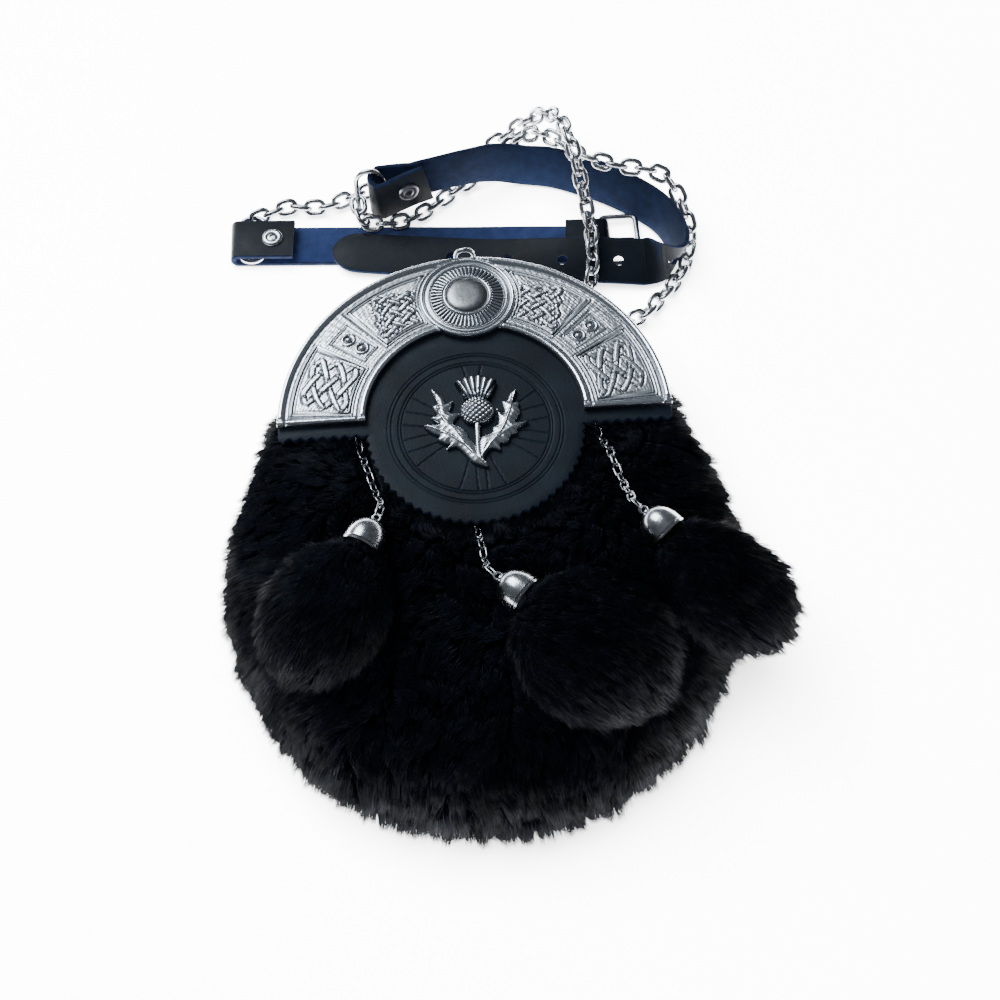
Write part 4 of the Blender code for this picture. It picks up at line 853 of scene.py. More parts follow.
def make_tassel(row, seed):
    name = f"tassel_{row[0]}"
    origin, axis, _, _ = tassel_frame(row)
    core = new_object(f"{name}_core", *stack(tassel_rings(row, -4.5)[::-1]), SKIN)
    keep(core, "black_fur", name)
    rng = np.random.default_rng(seed)
    place, normal = scattered(*stack(tassel_rings(row)), TASSEL_STRANDS, rng)
    middle = origin + axis * (CAP_LENGTH + row[5] / 2)
    if np.mean(np.sum(normal * (place - middle), axis=1)) < 0:
        normal = -normal
    flow = swirled(axis - normal * (normal @ axis)[:, None], normal, place, 0.25)
    down = (place - origin) @ axis - CAP_LENGTH
    back = np.minimum(9.0, down + 4.0)[:, None]
    strands = combed(place, normal, flow, TASSEL_COMB, back, rng)
    strand_pieces(f"{name}_fur", *strands, rng, 1, name)


def make_cap(row):
    origin, axis, across, over = tassel_frame(row)
    outline = rounded(((0.3, 1.4), (0.8, 2.7), (2.2, 4.8), (4.6, 6.4), (7.4, 7.2), (10.6, 7.45)), 4)
    lip = ((10.9, 7.15), (11.3, 7.5), (12.0, 7.3), (12.0, 6.2), (11.0, 6.1))
    inside = rounded(((9.4, 6.3), (6.6, 5.9), (3.4, 4.2), (1.8, 1.0)), 3)
    profile = [*outline.tolist(), *lip, *inside.tolist()]
    shapes = [turned(profile, origin, axis, 56)]
    shapes.append(turned(((-0.4, 0.9), (0.0, 1.5), (0.4, 1.6), (0.8, 1.4)), origin, axis, 24))
    eye = arc(1.35, 0.0, 330.0, 11)
    path = origin - axis * 0.9 + eye[:, :1] * axis + eye[:, 1:] * across
    shapes.append(swept(path, 0.5, 8, up=over, closed=True))
    obj = new_object(f"cap_{row[0]}", *merged(shapes), STEEL)
    keep(obj, "silver_casting", f"tassel_cap_{row[0]}")


def tassel_chain_route(row):
    origin, axis, _, _ = tassel_frame(row)
    end = origin - axis * 2.2
    leave = np.array((row[9], row[10], FLAP_BOTTOM - 1.9))
    points = [leave + (0.0, 6.4, 0.0), leave]
    for share in (0.35, 0.65):
        point = leave + (end - axis * 3.2 - leave) * share
        point[2] = fur_height(point[0], point[1]) + 1.9
        points.append(point)
    path = rounded([*points, end - axis * 3.2, end], 6)
    path[:, 2] = np.maximum(path[:, 2], leave[2])
    return path


# Chains


def walk(path, pitch):
    nodes = [path[0]]
    for before, after in zip(path[:-1], path[1:]):
        near, far = (np.linalg.norm(place - nodes[-1]) for place in (before, after))
        if near < pitch <= far:
            nodes.append(before + (after - before) * (pitch - near) / (far - near))
    return nodes


def chain_nodes(path, pitch):
    count = len(walk(path, pitch))
    while len(walk(path, pitch)) == count:
        pitch *= 0.9999
    return np.array(walk(path, pitch))


def make_chain(name, path, pitch, size, ends, node):
    """Interlocked oval links; size is their length, width and wire."""
    places = chain_nodes(path, pitch)
    first, last = ends
    turns = [first] + [45.0] * (len(places) - 3) + [last]
    links = []
    for i, turn in enumerate(turns):
        start, end = places[i], places[i + 1]
        along = unit(end - start)
        side = unit(np.cross(Z_AXIS, along))
        over = np.cross(along, side)
        roll = math.radians(turn if i % 2 else -turn)
        across = math.cos(roll) * side + math.sin(roll) * over
        centre = (start + end) / 2
        links.append(oval_ring(centre, along, across, *size, 9, 8))
    obj = new_object(name, *merged(links), STEEL, smooth=None)
    keep(obj, "chrome", node)


def loop_frame(name):
    half = np.array(POUCH_OUTLINE) * (POUCH_LENGTH, POUCH_WIDTH / 2)
    before, after = np.column_stack([half[:, 1], POUCH_TOP_Y - half[:, 0]])[2:4]
    along = unit(after - before)
    out = np.array((-along[1], along[0]))
    root = before + (after - before) * 0.55 + out * GAP
    mirror = np.array((1.0 if name == "right" else -1.0, 1.0))
    return np.append(root * mirror, 9.0), np.append(out * mirror, 0.0)


def strap_ring_frames():
    fold = np.array(BUCKLE_STRAP_ROUTE, float)[0]
    left = np.array((fold[0] + (RING_WIDTH - RING_WIRE) / 2, fold[1] + 1.6, 3.6))
    lean = math.radians(80.0)
    middle = np.array(TONGUE_FOLD_MIDDLE) + (-5.2, 0.0, STRAP_WIDTH / 2)
    flat = np.array((1.0, 0.0, 0.0))
    return {
        "left": (left, np.array((0.0, 1.0, 0.0)), flat),
        "middle": (middle, np.array((0.0, math.cos(lean), math.sin(lean))), flat),
    }


def make_belt_chains():
    bearing = (LOOP_WIRE + LINK_WIRE) / 2 + GAP / 2 - 0.5
    frames = strap_ring_frames()
    ring, along, across = frames["middle"]
    leg = ring - across * (RING_WIDTH - RING_WIRE) / 2 - along * 0.16 * RING_LENGTH
    pull = unit(leg - np.array(CHAIN_RIGHT_ROUTE[-1]))
    right_end = leg + pull * (bearing + (RING_WIRE - LOOP_WIRE) / 2)
    ring, along, across = frames["left"]
    left_end = ring + along * (RING_LENGTH / 2 - RING_WIRE / 2 - 0.8)
    rows = (
        ("right", CHAIN_RIGHT_ROUTE, right_end, 0.0, 6.0),
        ("left", CHAIN_LEFT_ROUTE, left_end, 1.0, 60.0),
    )
    for name, route, end, dip, last_turn in rows:
        root, out = loop_frame(name)
        start = root + out * (LOOP_REACH - LOOP_WIRE / 2) - out * bearing
        inner = [start + out * 9.1 - Z_AXIS * dip, *np.array(route, float)]
        path = rounded([start, *inner, end], 30)
        make_chain(f"chain_{name}", path, CHAIN_PITCH, CHAIN_LINK, (75.0, last_turn), f"belt_chain_{name}")


def make_tassel_chain(row):
    name = f"tassel_chain_{row[0]}"
    path = tassel_chain_route(row)
    make_chain(f"{name}_links", path, TASSEL_PITCH, TASSEL_LINK, (45.0, 45.0), name)


# Flap


def zigzag(points):
    along = lengths(points)
    teeth = max(2, round(along[-1] / PINK_PITCH))
    out = []
    for i in range(2 * teeth + 1):
        place = along[-1] * i / (2 * teeth)
        point, ahead, back = at_places(points, (place, place + 1.0, place - 1.0))
        step = ahead - back
        normal = unit(np.array((step[1], -step[0])))
        out.append(point + normal * (PINK_DEPTH / 2 if i % 2 else -PINK_DEPTH / 2))
    return np.array(out)


def flap_outline(grow=0.0, pinked=True):
    edge = CANTLE_RADIUS - GAP + grow
    low = FOOT_STRIP + grow
    radius = TONGUE_RADIUS + grow
    meet = math.degrees(math.asin((TONGUE_DROP - low) / radius))
    half = radius * math.cos(math.radians(meet))
    tongue = arc(radius, 180.0 - meet, 360.0 + meet, 80, (0.0, -TONGUE_DROP))
    strips = (np.array(((-edge, -low), (-half, -low))), np.array(((half, -low), (edge, -low))))
    if pinked:
        lower = [zigzag(strips[0])[:-1], zigzag(tongue), zigzag(strips[1])[1:]]
    else:
        lower = [strips[0][:-1], tongue, strips[1][1:]]
    return np.concatenate([arc(edge, 0.0, 180.0, 96), *lower])


def inset_outline(outline, distance):
    """An anticlockwise outline moved in by a small distance."""
    before = unit(outline - np.roll(outline, 1, axis=0))
    after = unit(np.roll(outline, -1, axis=0) - outline)
    along = unit(before + after)
    return outline + np.column_stack([-along[:, 1], along[:, 0]]) * distance


TOOLED_RADII = np.concatenate([
    [38.0, 36.5, 35.4], np.arange(34.6, 25.8, -0.22), np.arange(25.3, 4.0, -0.55),
])
SPOKES = (90.0, 155.0, 182.0, 208.0, 262.0, 284.0, 333.0, 357.0, 24.0)


def tooling(radius, angle):
    """Depth of the lines pressed into the leather round the badge."""
    depth = np.zeros_like(radius)
    for line in (28.2, 29.4, 32.2, 33.4):
        depth = np.maximum(depth, hump(radius - line, 0.42))
    for spoke in SPOKES:
        turn = (angle - spoke + 180.0) % 360.0 - 180.0
        across = np.radians(turn) * radius
        for side in (-1.0, 1.0):
            bow = side * (1.0 + 0.012 * np.maximum(radius - 8.0, 0.0) ** 1.8)
            line = hump(across - bow, 0.5) * (radius < 28.2) * (radius > 8.0)
            depth = np.maximum(depth, line * (np.abs(turn) < 60.0))
    return 0.3 * depth


def filled(*loops):
    """Triangles between flat loops."""
    flat = [[Vector((x, y, 0.0)) for x, y, _ in loop] for loop in loops]
    return geometry.tessellate_polygon(flat)


def make_flap():
    outline = flap_outline()
    count = FLAP_COLUMNS
    around = 360.0 * np.arange(count) / count
    grid_radius, grid_angle = np.meshgrid(TOOLED_RADII, around, indexing="ij")
    height = FLAP_TOP - tooling(grid_radius, grid_angle)
    turn = np.radians(grid_angle)
    x = grid_radius * np.cos(turn)
    y = grid_radius * np.sin(turn) - TONGUE_DROP
    disc = np.stack([x, y, height], axis=-1).reshape(-1, 3)
    middle = len(disc)
    faces = ring_faces(len(TOOLED_RADII), count, caps=False)
    last = middle - count
    faces += [(last + j, last + (j + 1) % count, middle) for j in range(count)]
    points = [disc, np.array([(0.0, -TONGUE_DROP, FLAP_TOP)])]
    start = middle + 1
    rings = []
    for inset, z in ((0.5, FLAP_TOP), (0.12, FLAP_TOP - 0.12), (0.0, FLAP_TOP - 0.4),
                     (0.0, FLAP_BOTTOM + 0.3), (0.3, FLAP_BOTTOM)):
        flat = inset_outline(outline, inset)
        rings.append(np.column_stack([flat, np.full(len(flat), z)]))
    points.extend(rings)
    rim = len(outline)
    for tri in filled(rings[0], disc[:count]):
        faces.append(tuple(start + i if i < rim else i - rim for i in tri))
    bottom = start + (len(rings) - 1) * rim
    for tri in filled(rings[-1]):
        faces.append(tuple(bottom + i for i in reversed(tri)))
    first_edge = len(faces) + rim
    for face in ring_faces(len(rings), rim, caps=False):
        faces.append(tuple(start + i for i in face))
    obj = new_object("flap_leather", np.concatenate(points), faces, LEATHER_FLAP, CUT_EDGE)
    for i, polygon in enumerate(obj.data.polygons):
        polygon.material_index = int(i >= first_edge)
    keep(obj, "black_leather", "flap")


def make_flap_fold():
    """The piece of the flap that goes down behind the pouch's mouth."""
    outer = math.sqrt(POUCH_TOP_Y**2 - FOLD_HALF_WIDTH**2) - GAP
    levels = rounded([(2.3,), (12.0,), (24.0,), (31.0,), (34.4,)], 4).ravel()
    rings = []
    for level in levels:
        low = np.array((-FOLD_HALF_WIDTH, outer - LEATHER / 2, level))
        rings.append(band_ring(low, X_AXIS, Y_AXIS, 2 * FOLD_HALF_WIDTH, LEATHER))
    keep(new_object("flap_fold", *stack(rings), LEATHER_FLAP), "black_leather", "flap")


# Straps


def band_ring(low, across, normal, width, thick, start=0.0, end=1.0):
    """Cross-section of a strap with rounded edges, from its lower edge."""
    corner = 0.55
    half = thick / 2
    turns = np.radians(np.linspace(0.0, 90.0, 4))
    section = []
    a, b = width * start, width * end
    for middle, level, first in (
        (b - corner, half - corner, 0.0),
        (a + corner, half - corner, 90.0),
        (a + corner, corner - half, 180.0),
        (b - corner, corner - half, 270.0),
    ):
        for turn in turns + math.radians(first):
            section.append((middle + corner * math.cos(turn), level + corner * math.sin(turn)))
    section = np.array(section)
    return low + section[:, :1] * across + section[:, 1:] * normal


def stations_of(edge, leans):
    along = unit(np.gradient(edge, axis=0))
    across = leans - np.sum(leans * along, axis=1)[:, None] * along
    across = unit(across)
    return edge, across, along


def tongue_stations():
    """The long strap, from its round tip round the bend and the ring fold."""
    table = np.array(TONGUE_STRAP_ROUTE, float)
    middle = np.array(TONGUE_FOLD_MIDDLE)
    turn = arc(FOLD_LOOP, 90.0, 270.0, 14, middle[:2])
    rest = np.tile((middle[2], *table[-1, 3:]), (len(turn), 1))
    fold = np.column_stack([turn, rest])
    end = [(*point, *table[-1, 3:]) for point in TONGUE_FOLD_END]
    run = rounded(table, 7)
    for _ in range(6):
        run[1:-1, 3:] = (run[:-2, 3:] + run[1:-1, 3:] + run[2:, 3:]) / 3
    to_fold = run[-1] + (fold[0] - run[-1]) * np.array((0.3, 0.6, 0.85))[:, None]
    smooth = np.concatenate([run, to_fold, fold, rounded([fold[-1], *end], 3)[1:]])
    lean, heading = np.radians(smooth[:, 3]), np.radians(smooth[:, 4])
    flat = np.cos(lean)
    leans = np.column_stack([flat * np.cos(heading), flat * np.sin(heading), np.sin(lean)])
    return stations_of(smooth[:, :3], leans)


def buckle_stations():
    run = np.array(BUCKLE_STRAP_ROUTE, float)
    low = STRAP_THICK / 2 + 0.2
    points = []
    for end, wire, length, sign in (
        (run[0], RING_WIRE, RING_FOLD_LENGTH, -1.0),
        (run[-1], BUCKLE_WIRE, BUCKLE_FOLD_LENGTH, 1.0),
    ):
        radius = (wire + STRAP_THICK) / 2 + GAP
        turn = arc(radius, 90.0, -90.0, 12, (0.0, low + radius))
        side = [(end[0] + sign * x, end[1], z) for x, z in turn]
        slope = unit((run[1] - run[0]) if sign < 0 else (run[-2] - run[-1]))
        dip = 0.0 if sign < 0 else radius / 3
        far = (*(end + slope * length), low + 2 * radius - dip)
        halfway = (*(end + slope * length / 2), low + 2 * radius - dip / 2)
        points.append([far, halfway, *side])
    runs = [(x, y, low) for x, y in run[1:-1]]
    middle = np.array(points[0] + runs + points[1][::-1])
    leans = np.tile((0.0, 1.0, 0.0), (len(middle), 1))
    edge, across, along = stations_of(middle, leans)
    return edge - across * STRAP_WIDTH / 2, across, along


def station_at(stations, distance):
    along = lengths(stations[0])
    rows = [
        np.array([np.interp(distance, along, rows[:, k]) for k in range(3)]) for rows in stations
    ]
    return rows[0], unit(rows[1]), unit(rows[2])


def make_strap(name, stations, tip, materials):
    """A strap with rounded edges; a round tip at its start if tip is its length."""
    along_edge = lengths(stations[0])
    rings = []
    if tip:
        for share in (0.0, 0.01, 0.04, 0.09, 0.16, 0.26, 0.38, 0.52, 0.68, 0.84, 1.0):
            half = 0.5 * math.sqrt(max(0.012, 1.0 - (1.0 - share) ** 2))
            low, across, along = station_at(stations, share * tip)
            normal = np.cross(along, across)
            shares = (0.5 - half, 0.5 + half)
            rings.append(band_ring(low, across, normal, STRAP_WIDTH, STRAP_THICK, *shares))
    for place, low, across, along in zip(along_edge, *stations):
        if place > tip + 0.6 or not tip:
            rings.append(band_ring(low, across, np.cross(along, across), STRAP_WIDTH, STRAP_THICK))
    obj = new_object(name, *stack(rings), *materials)
    top_and_bottom = {3: 0, 11: 1}
    for i, polygon in enumerate(obj.data.polygons):
        polygon.material_index = top_and_bottom.get(i % 16, 2)
    return obj


def make_straps():
    tongue = tongue_stations()
    obj = make_strap("long_strap", tongue, 12.0, (LEATHER_STRAP, SUEDE_NAVY, CUT_EDGE))
    for distance in HOLE_PLACES:
        low, across, along = station_at(tongue, distance)
        normal = np.cross(along, across)
        middle = low + across * STRAP_WIDTH / 2 - normal * 2.0
        hole = new_object("hole", *turned(((0.0, 2.25), (4.0, 2.25)), middle, normal, 22), CUT_EDGE)
        cut(obj, hole)
    obj.data.set_sharp_from_angle(angle=math.radians(35.0))
    keep(obj, "strap_leather", "tongue_strap")
    buckle = buckle_stations()
    obj = make_strap("short_strap", buckle, 0.0, (SUEDE_BLUE, LEATHER_STRAP, CUT_EDGE))
    keep(obj, "strap_leather", "buckle_strap")
    rows = (
        ("left", buckle, 9.0, True, STEEL),
        ("middle", [part[::-1] for part in tongue], 9.0, False, GUNMETAL),
    )
    for name, stations, distance, from_start, material in rows:
        low, across, along = station_at(stations, distance)
        normal = unit(np.cross(along, across))
        outer = normal if (normal[2] if from_start else -normal[1]) > 0 else -normal
        place = low + across * STRAP_WIDTH / 2 + outer * (STRAP_THICK / 2 + 0.15)
        profile = ((0.0, 4.4), (0.25, 4.5), (0.6, 4.35), (0.9, 3.9), (1.05, 3.2), (0.95, 2.5),
                   (0.75, 2.1), (0.9, 1.7), (0.95, 1.35), (0.6, 1.15), (0.3, 1.1))
        obj = new_object(f"snap_{name}", *turned(profile, place, outer, 40), material)
        keep(obj, "chrome", f"rivet_{name}")


# Rings, buckle and loops


def make_rings():
    for name, (centre, along, across) in strap_ring_frames().items():
        shape = oval_ring(centre, along, across, RING_LENGTH, RING_WIDTH, RING_WIRE, 18, 14)
        keep(new_object(f"ring_{name}", *shape, STEEL), "chrome", f"strap_ring_{name}")


def make_buckle():
    end = np.array(BUCKLE_STRAP_ROUTE, float)[-1]
    centre = np.array((end[0] + (BUCKLE_LENGTH - BUCKLE_WIRE) / 2, end[1], 3.8))
    half_length = (BUCKLE_LENGTH - BUCKLE_WIRE) / 2
    half_width = (BUCKLE_WIDTH - BUCKLE_WIRE) / 2
    path = []
    for sx, sy, start in ((1, 1, 0), (-1, 1, 90), (-1, -1, 180), (1, -1, 270)):
        middle = centre + (sx * (half_length - BUCKLE_CORNER), sy * (half_width - BUCKLE_CORNER), 0)
        for x, y in arc(BUCKLE_CORNER, start, start + 90, 6):
            path.append(middle + (x, y, 0))
    shape = swept(path, BUCKLE_WIRE / 2, 14, up=Z_AXIS, closed=True)
    keep(new_object("buckle", *shape, STEEL), "chrome", "buckle_frame")
    low = 64.9 - centre[0]
    high = 74.2 - centre[0]
    along = np.linspace(low, high, 9)
    path = centre + np.column_stack([along, 0 * along, 0.25 * np.sin(np.linspace(0, 3.1, 9))])
    keep(new_object("prong", *swept(path, 1.0, 12), STEEL), "chrome", "buckle_prong")


def make_back_loops():
    for name in ("right", "left"):
        root, out = loop_frame(name)
        side = np.cross(Z_AXIS, out)
        half = (LOOP_WIDTH - LOOP_WIRE) / 2
        straight = LOOP_REACH - half - LOOP_WIRE / 2
        path = [root + side * half]
        for angle in np.linspace(0.0, math.pi, 15):
            path.append(root + out * (straight + half * math.sin(angle)) + side * half * math.cos(angle))
        path.append(root - side * half)
        shape = swept(path, LOOP_WIRE / 2, 12, up=Z_AXIS)
        keep(new_object(f"wire_loop_{name}", *shape, STEEL), "chrome", f"back_loop_{name}")


def make_staple():
    half = 3.6
    y = CANTLE_RADIUS + 0.9 + GAP
    bow = [(x, y, z) for x, z in arc(half, 180.0, 0.0, 14, (0.0, FLAP_BOTTOM + 4.0))]
    path = [(-half, y, FLAP_BOTTOM), *bow, (half, y, FLAP_BOTTOM)]
    shape = swept(path, 0.9, 12, up=Y_AXIS)
    keep(new_object("staple", *shape, STEEL), "chrome", "top_staple")


# Cantle


def crossings(curve):
    """Places along a closed curve where it crosses itself, as fractions of its points."""
    steps = np.roll(curve, -1, axis=0) - curve
    count = len(curve)
    found = []
    for i in range(count):
        for j in range(i + 2, count - (i == 0)):
            base = steps[i, 0] * steps[j, 1] - steps[i, 1] * steps[j, 0]
            if abs(base) < 1e-9:
                continue
            gap = curve[j] - curve[i]
            t = (gap[0] * steps[j, 1] - gap[1] * steps[j, 0]) / base
            u = (gap[0] * steps[i, 1] - gap[1] * steps[i, 0]) / base
            if 0 <= t < 1 and 0 <= u < 1:
                found.extend((i + t, j + u))
    return sorted(found)


def interlace(points, curve, width):
    """Height of a three-lined strand that weaves over and under itself, and where it is."""
    places = np.array(crossings(curve))
    count = len(curve)
    ends = (places + np.append(places[1:], places[0] + count)) / 2
    starts = np.append(ends[-1] - count, ends[:-1])
    level = np.full(len(points), -9.0)
    height = np.zeros(len(points))
    for i, (place, start, stop) in enumerate(zip(places, starts, ends)):
        steps = np.arange(math.floor(start), math.ceil(stop) + 1)
        away, where = nearest_on_path(points, curve[steps % count])
        phase = np.abs(where + steps[0] - place) / max((stop - start) / 2, 1e-6)
        own = (1.0 if i % 2 else -1.0) * (1.0 - np.clip(phase, 0.0, 1.0))
        body = 0.62 + 0.14 * own + 0.2 * np.cos(2 * math.pi * 1.5 * away / width)
        wins = (away < width + 0.32) & (own > level)
        level = np.where(wins, own, level)
        height = np.where(wins, np.where(away < width, body, -0.25), height)
    return height, level > -9.0


def lissajous(count, waves, phase, reach, pointed):
    t = 2 * math.pi * np.arange(count) / count
    u, v = np.sin(waves[0] * t + phase), np.sin(waves[1] * t)
    sharp = [2 / math.pi * np.arcsin(0.999 * wave) for wave in (u, v)]
    flat = [(1 - pointed) * wave + pointed * edge for wave, edge in zip((u, v), sharp)]
    return np.column_stack([flat[0] * reach[0], flat[1] * reach[1]])


# Panels of the cantle: inner and outer radius, first and last angle, lines inside the edge
PANELS = (
    (46.3, 70.2, 3.4, 31.2, (0.3, 1.5)),
    (49.2, 65.5, 33.8, 43.2, (0.3,)),
    (46.3, 70.2, 45.8, 90.0, (0.3, 1.5)),
)
# Knots: panel, angle and radius of the middle, curve's waves, phase, reach and
# pointedness, strand's half width, turn
KNOTS = (
    (0, 17.5, 57.8, ((2, 3), 0.0, (8.6, 10.4), 0.55), 0.95, 0.0),
    (2, 60.5, 56.8, ((3, 4), math.pi / 2, (9.2, 8.6), 0.5), 0.8, 0.35),
)
BEAD_ANGLE = math.radians(38.5)
BEAD_RADII = (60.6, 53.9)


def add_panels(height, patina, panels):
    """A raised line between two dark grooves along each edge of the panels."""
    for inside, row in zip(panels, PANELS):
        for line in row[-1]:
            away = np.abs(inside - line)
            dip = np.where(away < 0.75, 1.0 - smooth_step((away - 0.4) / 0.35), 0.0)
            height = height * (1.0 - dip) + 1.3 * dip
            patina = np.maximum(patina, 0.95 * dip)
            ridge = hump(away, 0.4)
            height = height * (1.0 - ridge) + 2.3 * ridge
            patina = patina * (1.0 - ridge)
    return height, patina


def add_knots(height, patina, panels, radius, angle):
    for panel, centre, ring, curve, width, turn in KNOTS:
        along = np.radians(angle - centre) * radius
        flat = np.column_stack([(radius - ring).ravel(), along.ravel()])
        cosine, sine = math.cos(turn), math.sin(turn)
        flat = flat @ np.array(((cosine, -sine), (sine, cosine)))
        woven, hit = interlace(flat, lissajous(420, *curve), width)
        woven, hit = woven.reshape(radius.shape), hit.reshape(radius.shape)
        hit &= panels[panel] > 2.0
        height = np.where(hit, 1.55 + woven, height)
        patina = np.where(hit, np.clip(0.75 - 1.1 * (woven - 0.2), 0.0, 1.0), patina)
    return height, patina


def add_beads(height, patina, x, y):
    """Round beads, each in a raised ring."""
    for ring in BEAD_RADII:
        away = np.hypot(x - ring * math.cos(BEAD_ANGLE), y - ring * math.sin(BEAD_ANGLE))
        bead = 1.1 * np.sqrt(np.clip(1.0 - (away / 1.25) ** 2, 0.0, 1.0)) + 0.95 * hump(away - 2.3, 0.75)
        hit = away < 3.05
        height = np.where(hit, 1.5 + bead, height)
        patina = np.where(hit, np.clip(1.0 - 1.4 * bead, 0.0, 1.0), patina)
    return height, patina


def add_rims(height, patina, radius, y):
    """Rounded rims along the arch's edges, with a groove beside each arc."""
    rims = ((radius - 73.7, 1.35, 2.85), (radius - 42.8, 1.35, 2.7), (y - 1.2, 1.3, 2.7))
    for offset, half, rise in rims:
        bow = np.clip(1.0 - (offset / half) ** 2, 0.0, 1.0)
        hit = np.abs(offset) < half
        height = np.where(hit, 1.55 + (rise - 1.55) * np.sqrt(bow), height)
        patina = np.where(hit, np.clip(0.6 - 1.2 * bow, 0.0, 1.0), patina)
    for offset in (radius - 71.9, radius - 44.6):
        dip = hump(offset, 0.45)
        height = height * (1 - dip) + 1.5 * dip
        patina = np.maximum(patina, 0.85 * dip)
    return height, patina


def cantle_height(radius, angle):
    """Height of the cast arch over its bottom, and its dark patina; angle 0 to 90."""
    turn = np.radians(angle)
    x, y = radius * np.cos(turn), radius * np.sin(turn)
    to_disc = np.hypot(x, y - MEDALLION_Y) - MEDALLION_RADIUS
    stipple = 0.12 * np.sin(x * 6.1 + np.sin(y * 3.1)) * np.sin(y * 6.4 + np.sin(x * 2.7))
    height = 1.75 + stipple + 0.05 * np.sin(x * 4.1 + y * 3.3)
    panels = []
    for inner, outer, first, last, _ in PANELS:
        sides = [radius - inner, outer - radius, np.radians(angle - first) * radius]
        sides.append(to_disc - 0.6 if last == 90.0 else np.radians(last - angle) * radius)
        panels.append(np.minimum.reduce(sides))
    height, patina = add_panels(height, 0.3 - 1.6 * stipple, panels)
    height, patina = add_knots(height, patina, panels, radius, angle)
    height, patina = add_beads(height, patina, x, y)
    height, patina = add_rims(height, patina, radius, y)
    return np.where(to_disc < 0.6, 1.4, height), patina


def cast_values(patina):
    """The patina of a slab's top and of its bottom."""
    return np.concatenate([patina.ravel(), np.full(patina.size, 0.3)])


def keep_cast(name, shape, patina, node, smooth=None):
    obj = new_object(name, *shape, CAST, smooth=smooth)
    set_values(obj, "patina", patina)
    tidy_normals(obj.data)
    keep(obj, "silver_casting", node)


def slab(grid, heights, bottom, wrap):
    """Closed faces of a height grid over a flat bottom; wrap joins its columns."""
    rows, columns = grid.shape[:2]
    top = np.dstack([grid, bottom + heights])
    low = np.dstack([grid, np.full((rows, columns), bottom)])
    points = np.concatenate([top.reshape(-1, 3), low.reshape(-1, 3)])
    index = np.arange(rows * columns).reshape(rows, columns)
    if wrap:
        index = np.concatenate([index, index[:, :1]], axis=1)
    under = index + rows * columns

    def quads(a, b, c, d):
        return np.column_stack([part.ravel() for part in (a, b, c, d)])

    faces = [
        quads(index[:-1, :-1], index[1:, :-1], index[1:, 1:], index[:-1, 1:]),
        quads(under[:-1, :-1], under[:-1, 1:], under[1:, 1:], under[1:, :-1]),
        quads(index[-1, :-1], under[-1, :-1], under[-1, 1:], index[-1, 1:]),
        quads(index[0, :-1], index[0, 1:], under[0, 1:], under[0, :-1]),
    ]
    if not wrap:
        faces.append(quads(index[:-1, 0], under[:-1, 0], under[1:, 0], index[1:, 0]))
        faces.append(quads(index[:-1, -1], index[1:, -1], under[1:, -1], under[:-1, -1]))
    return points, np.concatenate(faces)


def make_cantle():
    angles = np.linspace(0.0, 90.0, CANTLE_COLUMNS)
    radii = np.linspace(CANTLE_INNER, CANTLE_RADIUS, CANTLE_ROWS)
    radius, angle = np.meshgrid(radii, angles, indexing="ij")
    height, patina = cantle_height(radius, angle)
    angle = np.concatenate([angle, 180.0 - angle[:, -2::-1]], axis=1)
    radius, height, patina = (
        np.concatenate([half, half[:, -2::-1]], axis=1) for half in (radius, height, patina)
    )
    turn = np.radians(angle)
    grid = np.stack([radius * np.cos(turn), radius * np.sin(turn)], axis=-1)
    keep_cast("cantle_arch", slab(grid, height, CANTLE_BOTTOM, False), cast_values(patina), "cantle")


def make_medallion():
    radii = np.concatenate([
        np.linspace(MEDALLION_RADIUS, 14.6, 26), np.linspace(14.4, 9.9, 14),
        np.linspace(9.8, 8.2, 10),
    ])
    angles = 2 * math.pi * np.arange(MEDALLION_COLUMNS) / MEDALLION_COLUMNS
    radius, angle = np.meshgrid(radii, angles, indexing="ij")
    height = np.full(radius.shape, 2.3)
    patina = np.full(radius.shape, 0.25)
    rim = np.clip(1.0 - ((radius - 18.1) / 0.9) ** 2, 0.0, 1.0)
    height = np.where(radius > 17.2, 1.6 + 1.2 * np.sqrt(rim), height)
    patina = np.where(radius > 17.2, 0.35 - 0.35 * rim, patina)
    line = hump(radius - 15.6, 0.5)
    height += 0.35 * line
    patina = patina * (1.0 - line)
    dip = np.maximum(hump(radius - 16.9, 0.4), hump(radius - 14.9, 0.35))
    height -= 0.5 * dip
    patina = np.maximum(patina, 0.9 * dip)
    fluted = (radius < 14.5) & (radius > 9.8)
    cone = 2.15 + 0.8 * (14.5 - radius) / 4.7
    wave = np.cos(FLUTES * angle)
    height = np.where(fluted, cone + 0.36 * wave, height)
    patina = np.where(fluted, np.clip(0.45 - 0.55 * wave, 0.0, 1.0), patina)
    collar = np.clip(1.0 - ((radius - 9.1) / 0.7) ** 2, 0.0, 1.0)
    near = radius < 9.85
    height = np.where(near, 2.6 + 1.1 * np.sqrt(collar), height)
    patina = np.where(near, 0.5 - 0.5 * collar, patina)
    grid = np.stack([radius * np.cos(angle), radius * np.sin(angle) + MEDALLION_Y], axis=-1)
    keep_cast("cantle_medallion", slab(grid, height, CANTLE_BOTTOM, True), cast_values(patina), "cantle")
    profile = [(0.4, 8.5), (2.9, 8.5)]
    profile += [(2.9 + 1.5 * math.sin(t), 8.4 * math.cos(t) ** 0.45) for t in np.linspace(0.1, 1.45, 16)]
    shape = turned(profile, np.array((0.0, MEDALLION_Y, CANTLE_BOTTOM)), Z_AXIS, 96)
    keep(new_object("cantle_dome", *shape, SATIN), "silver_casting", "cantle")


# Thistle


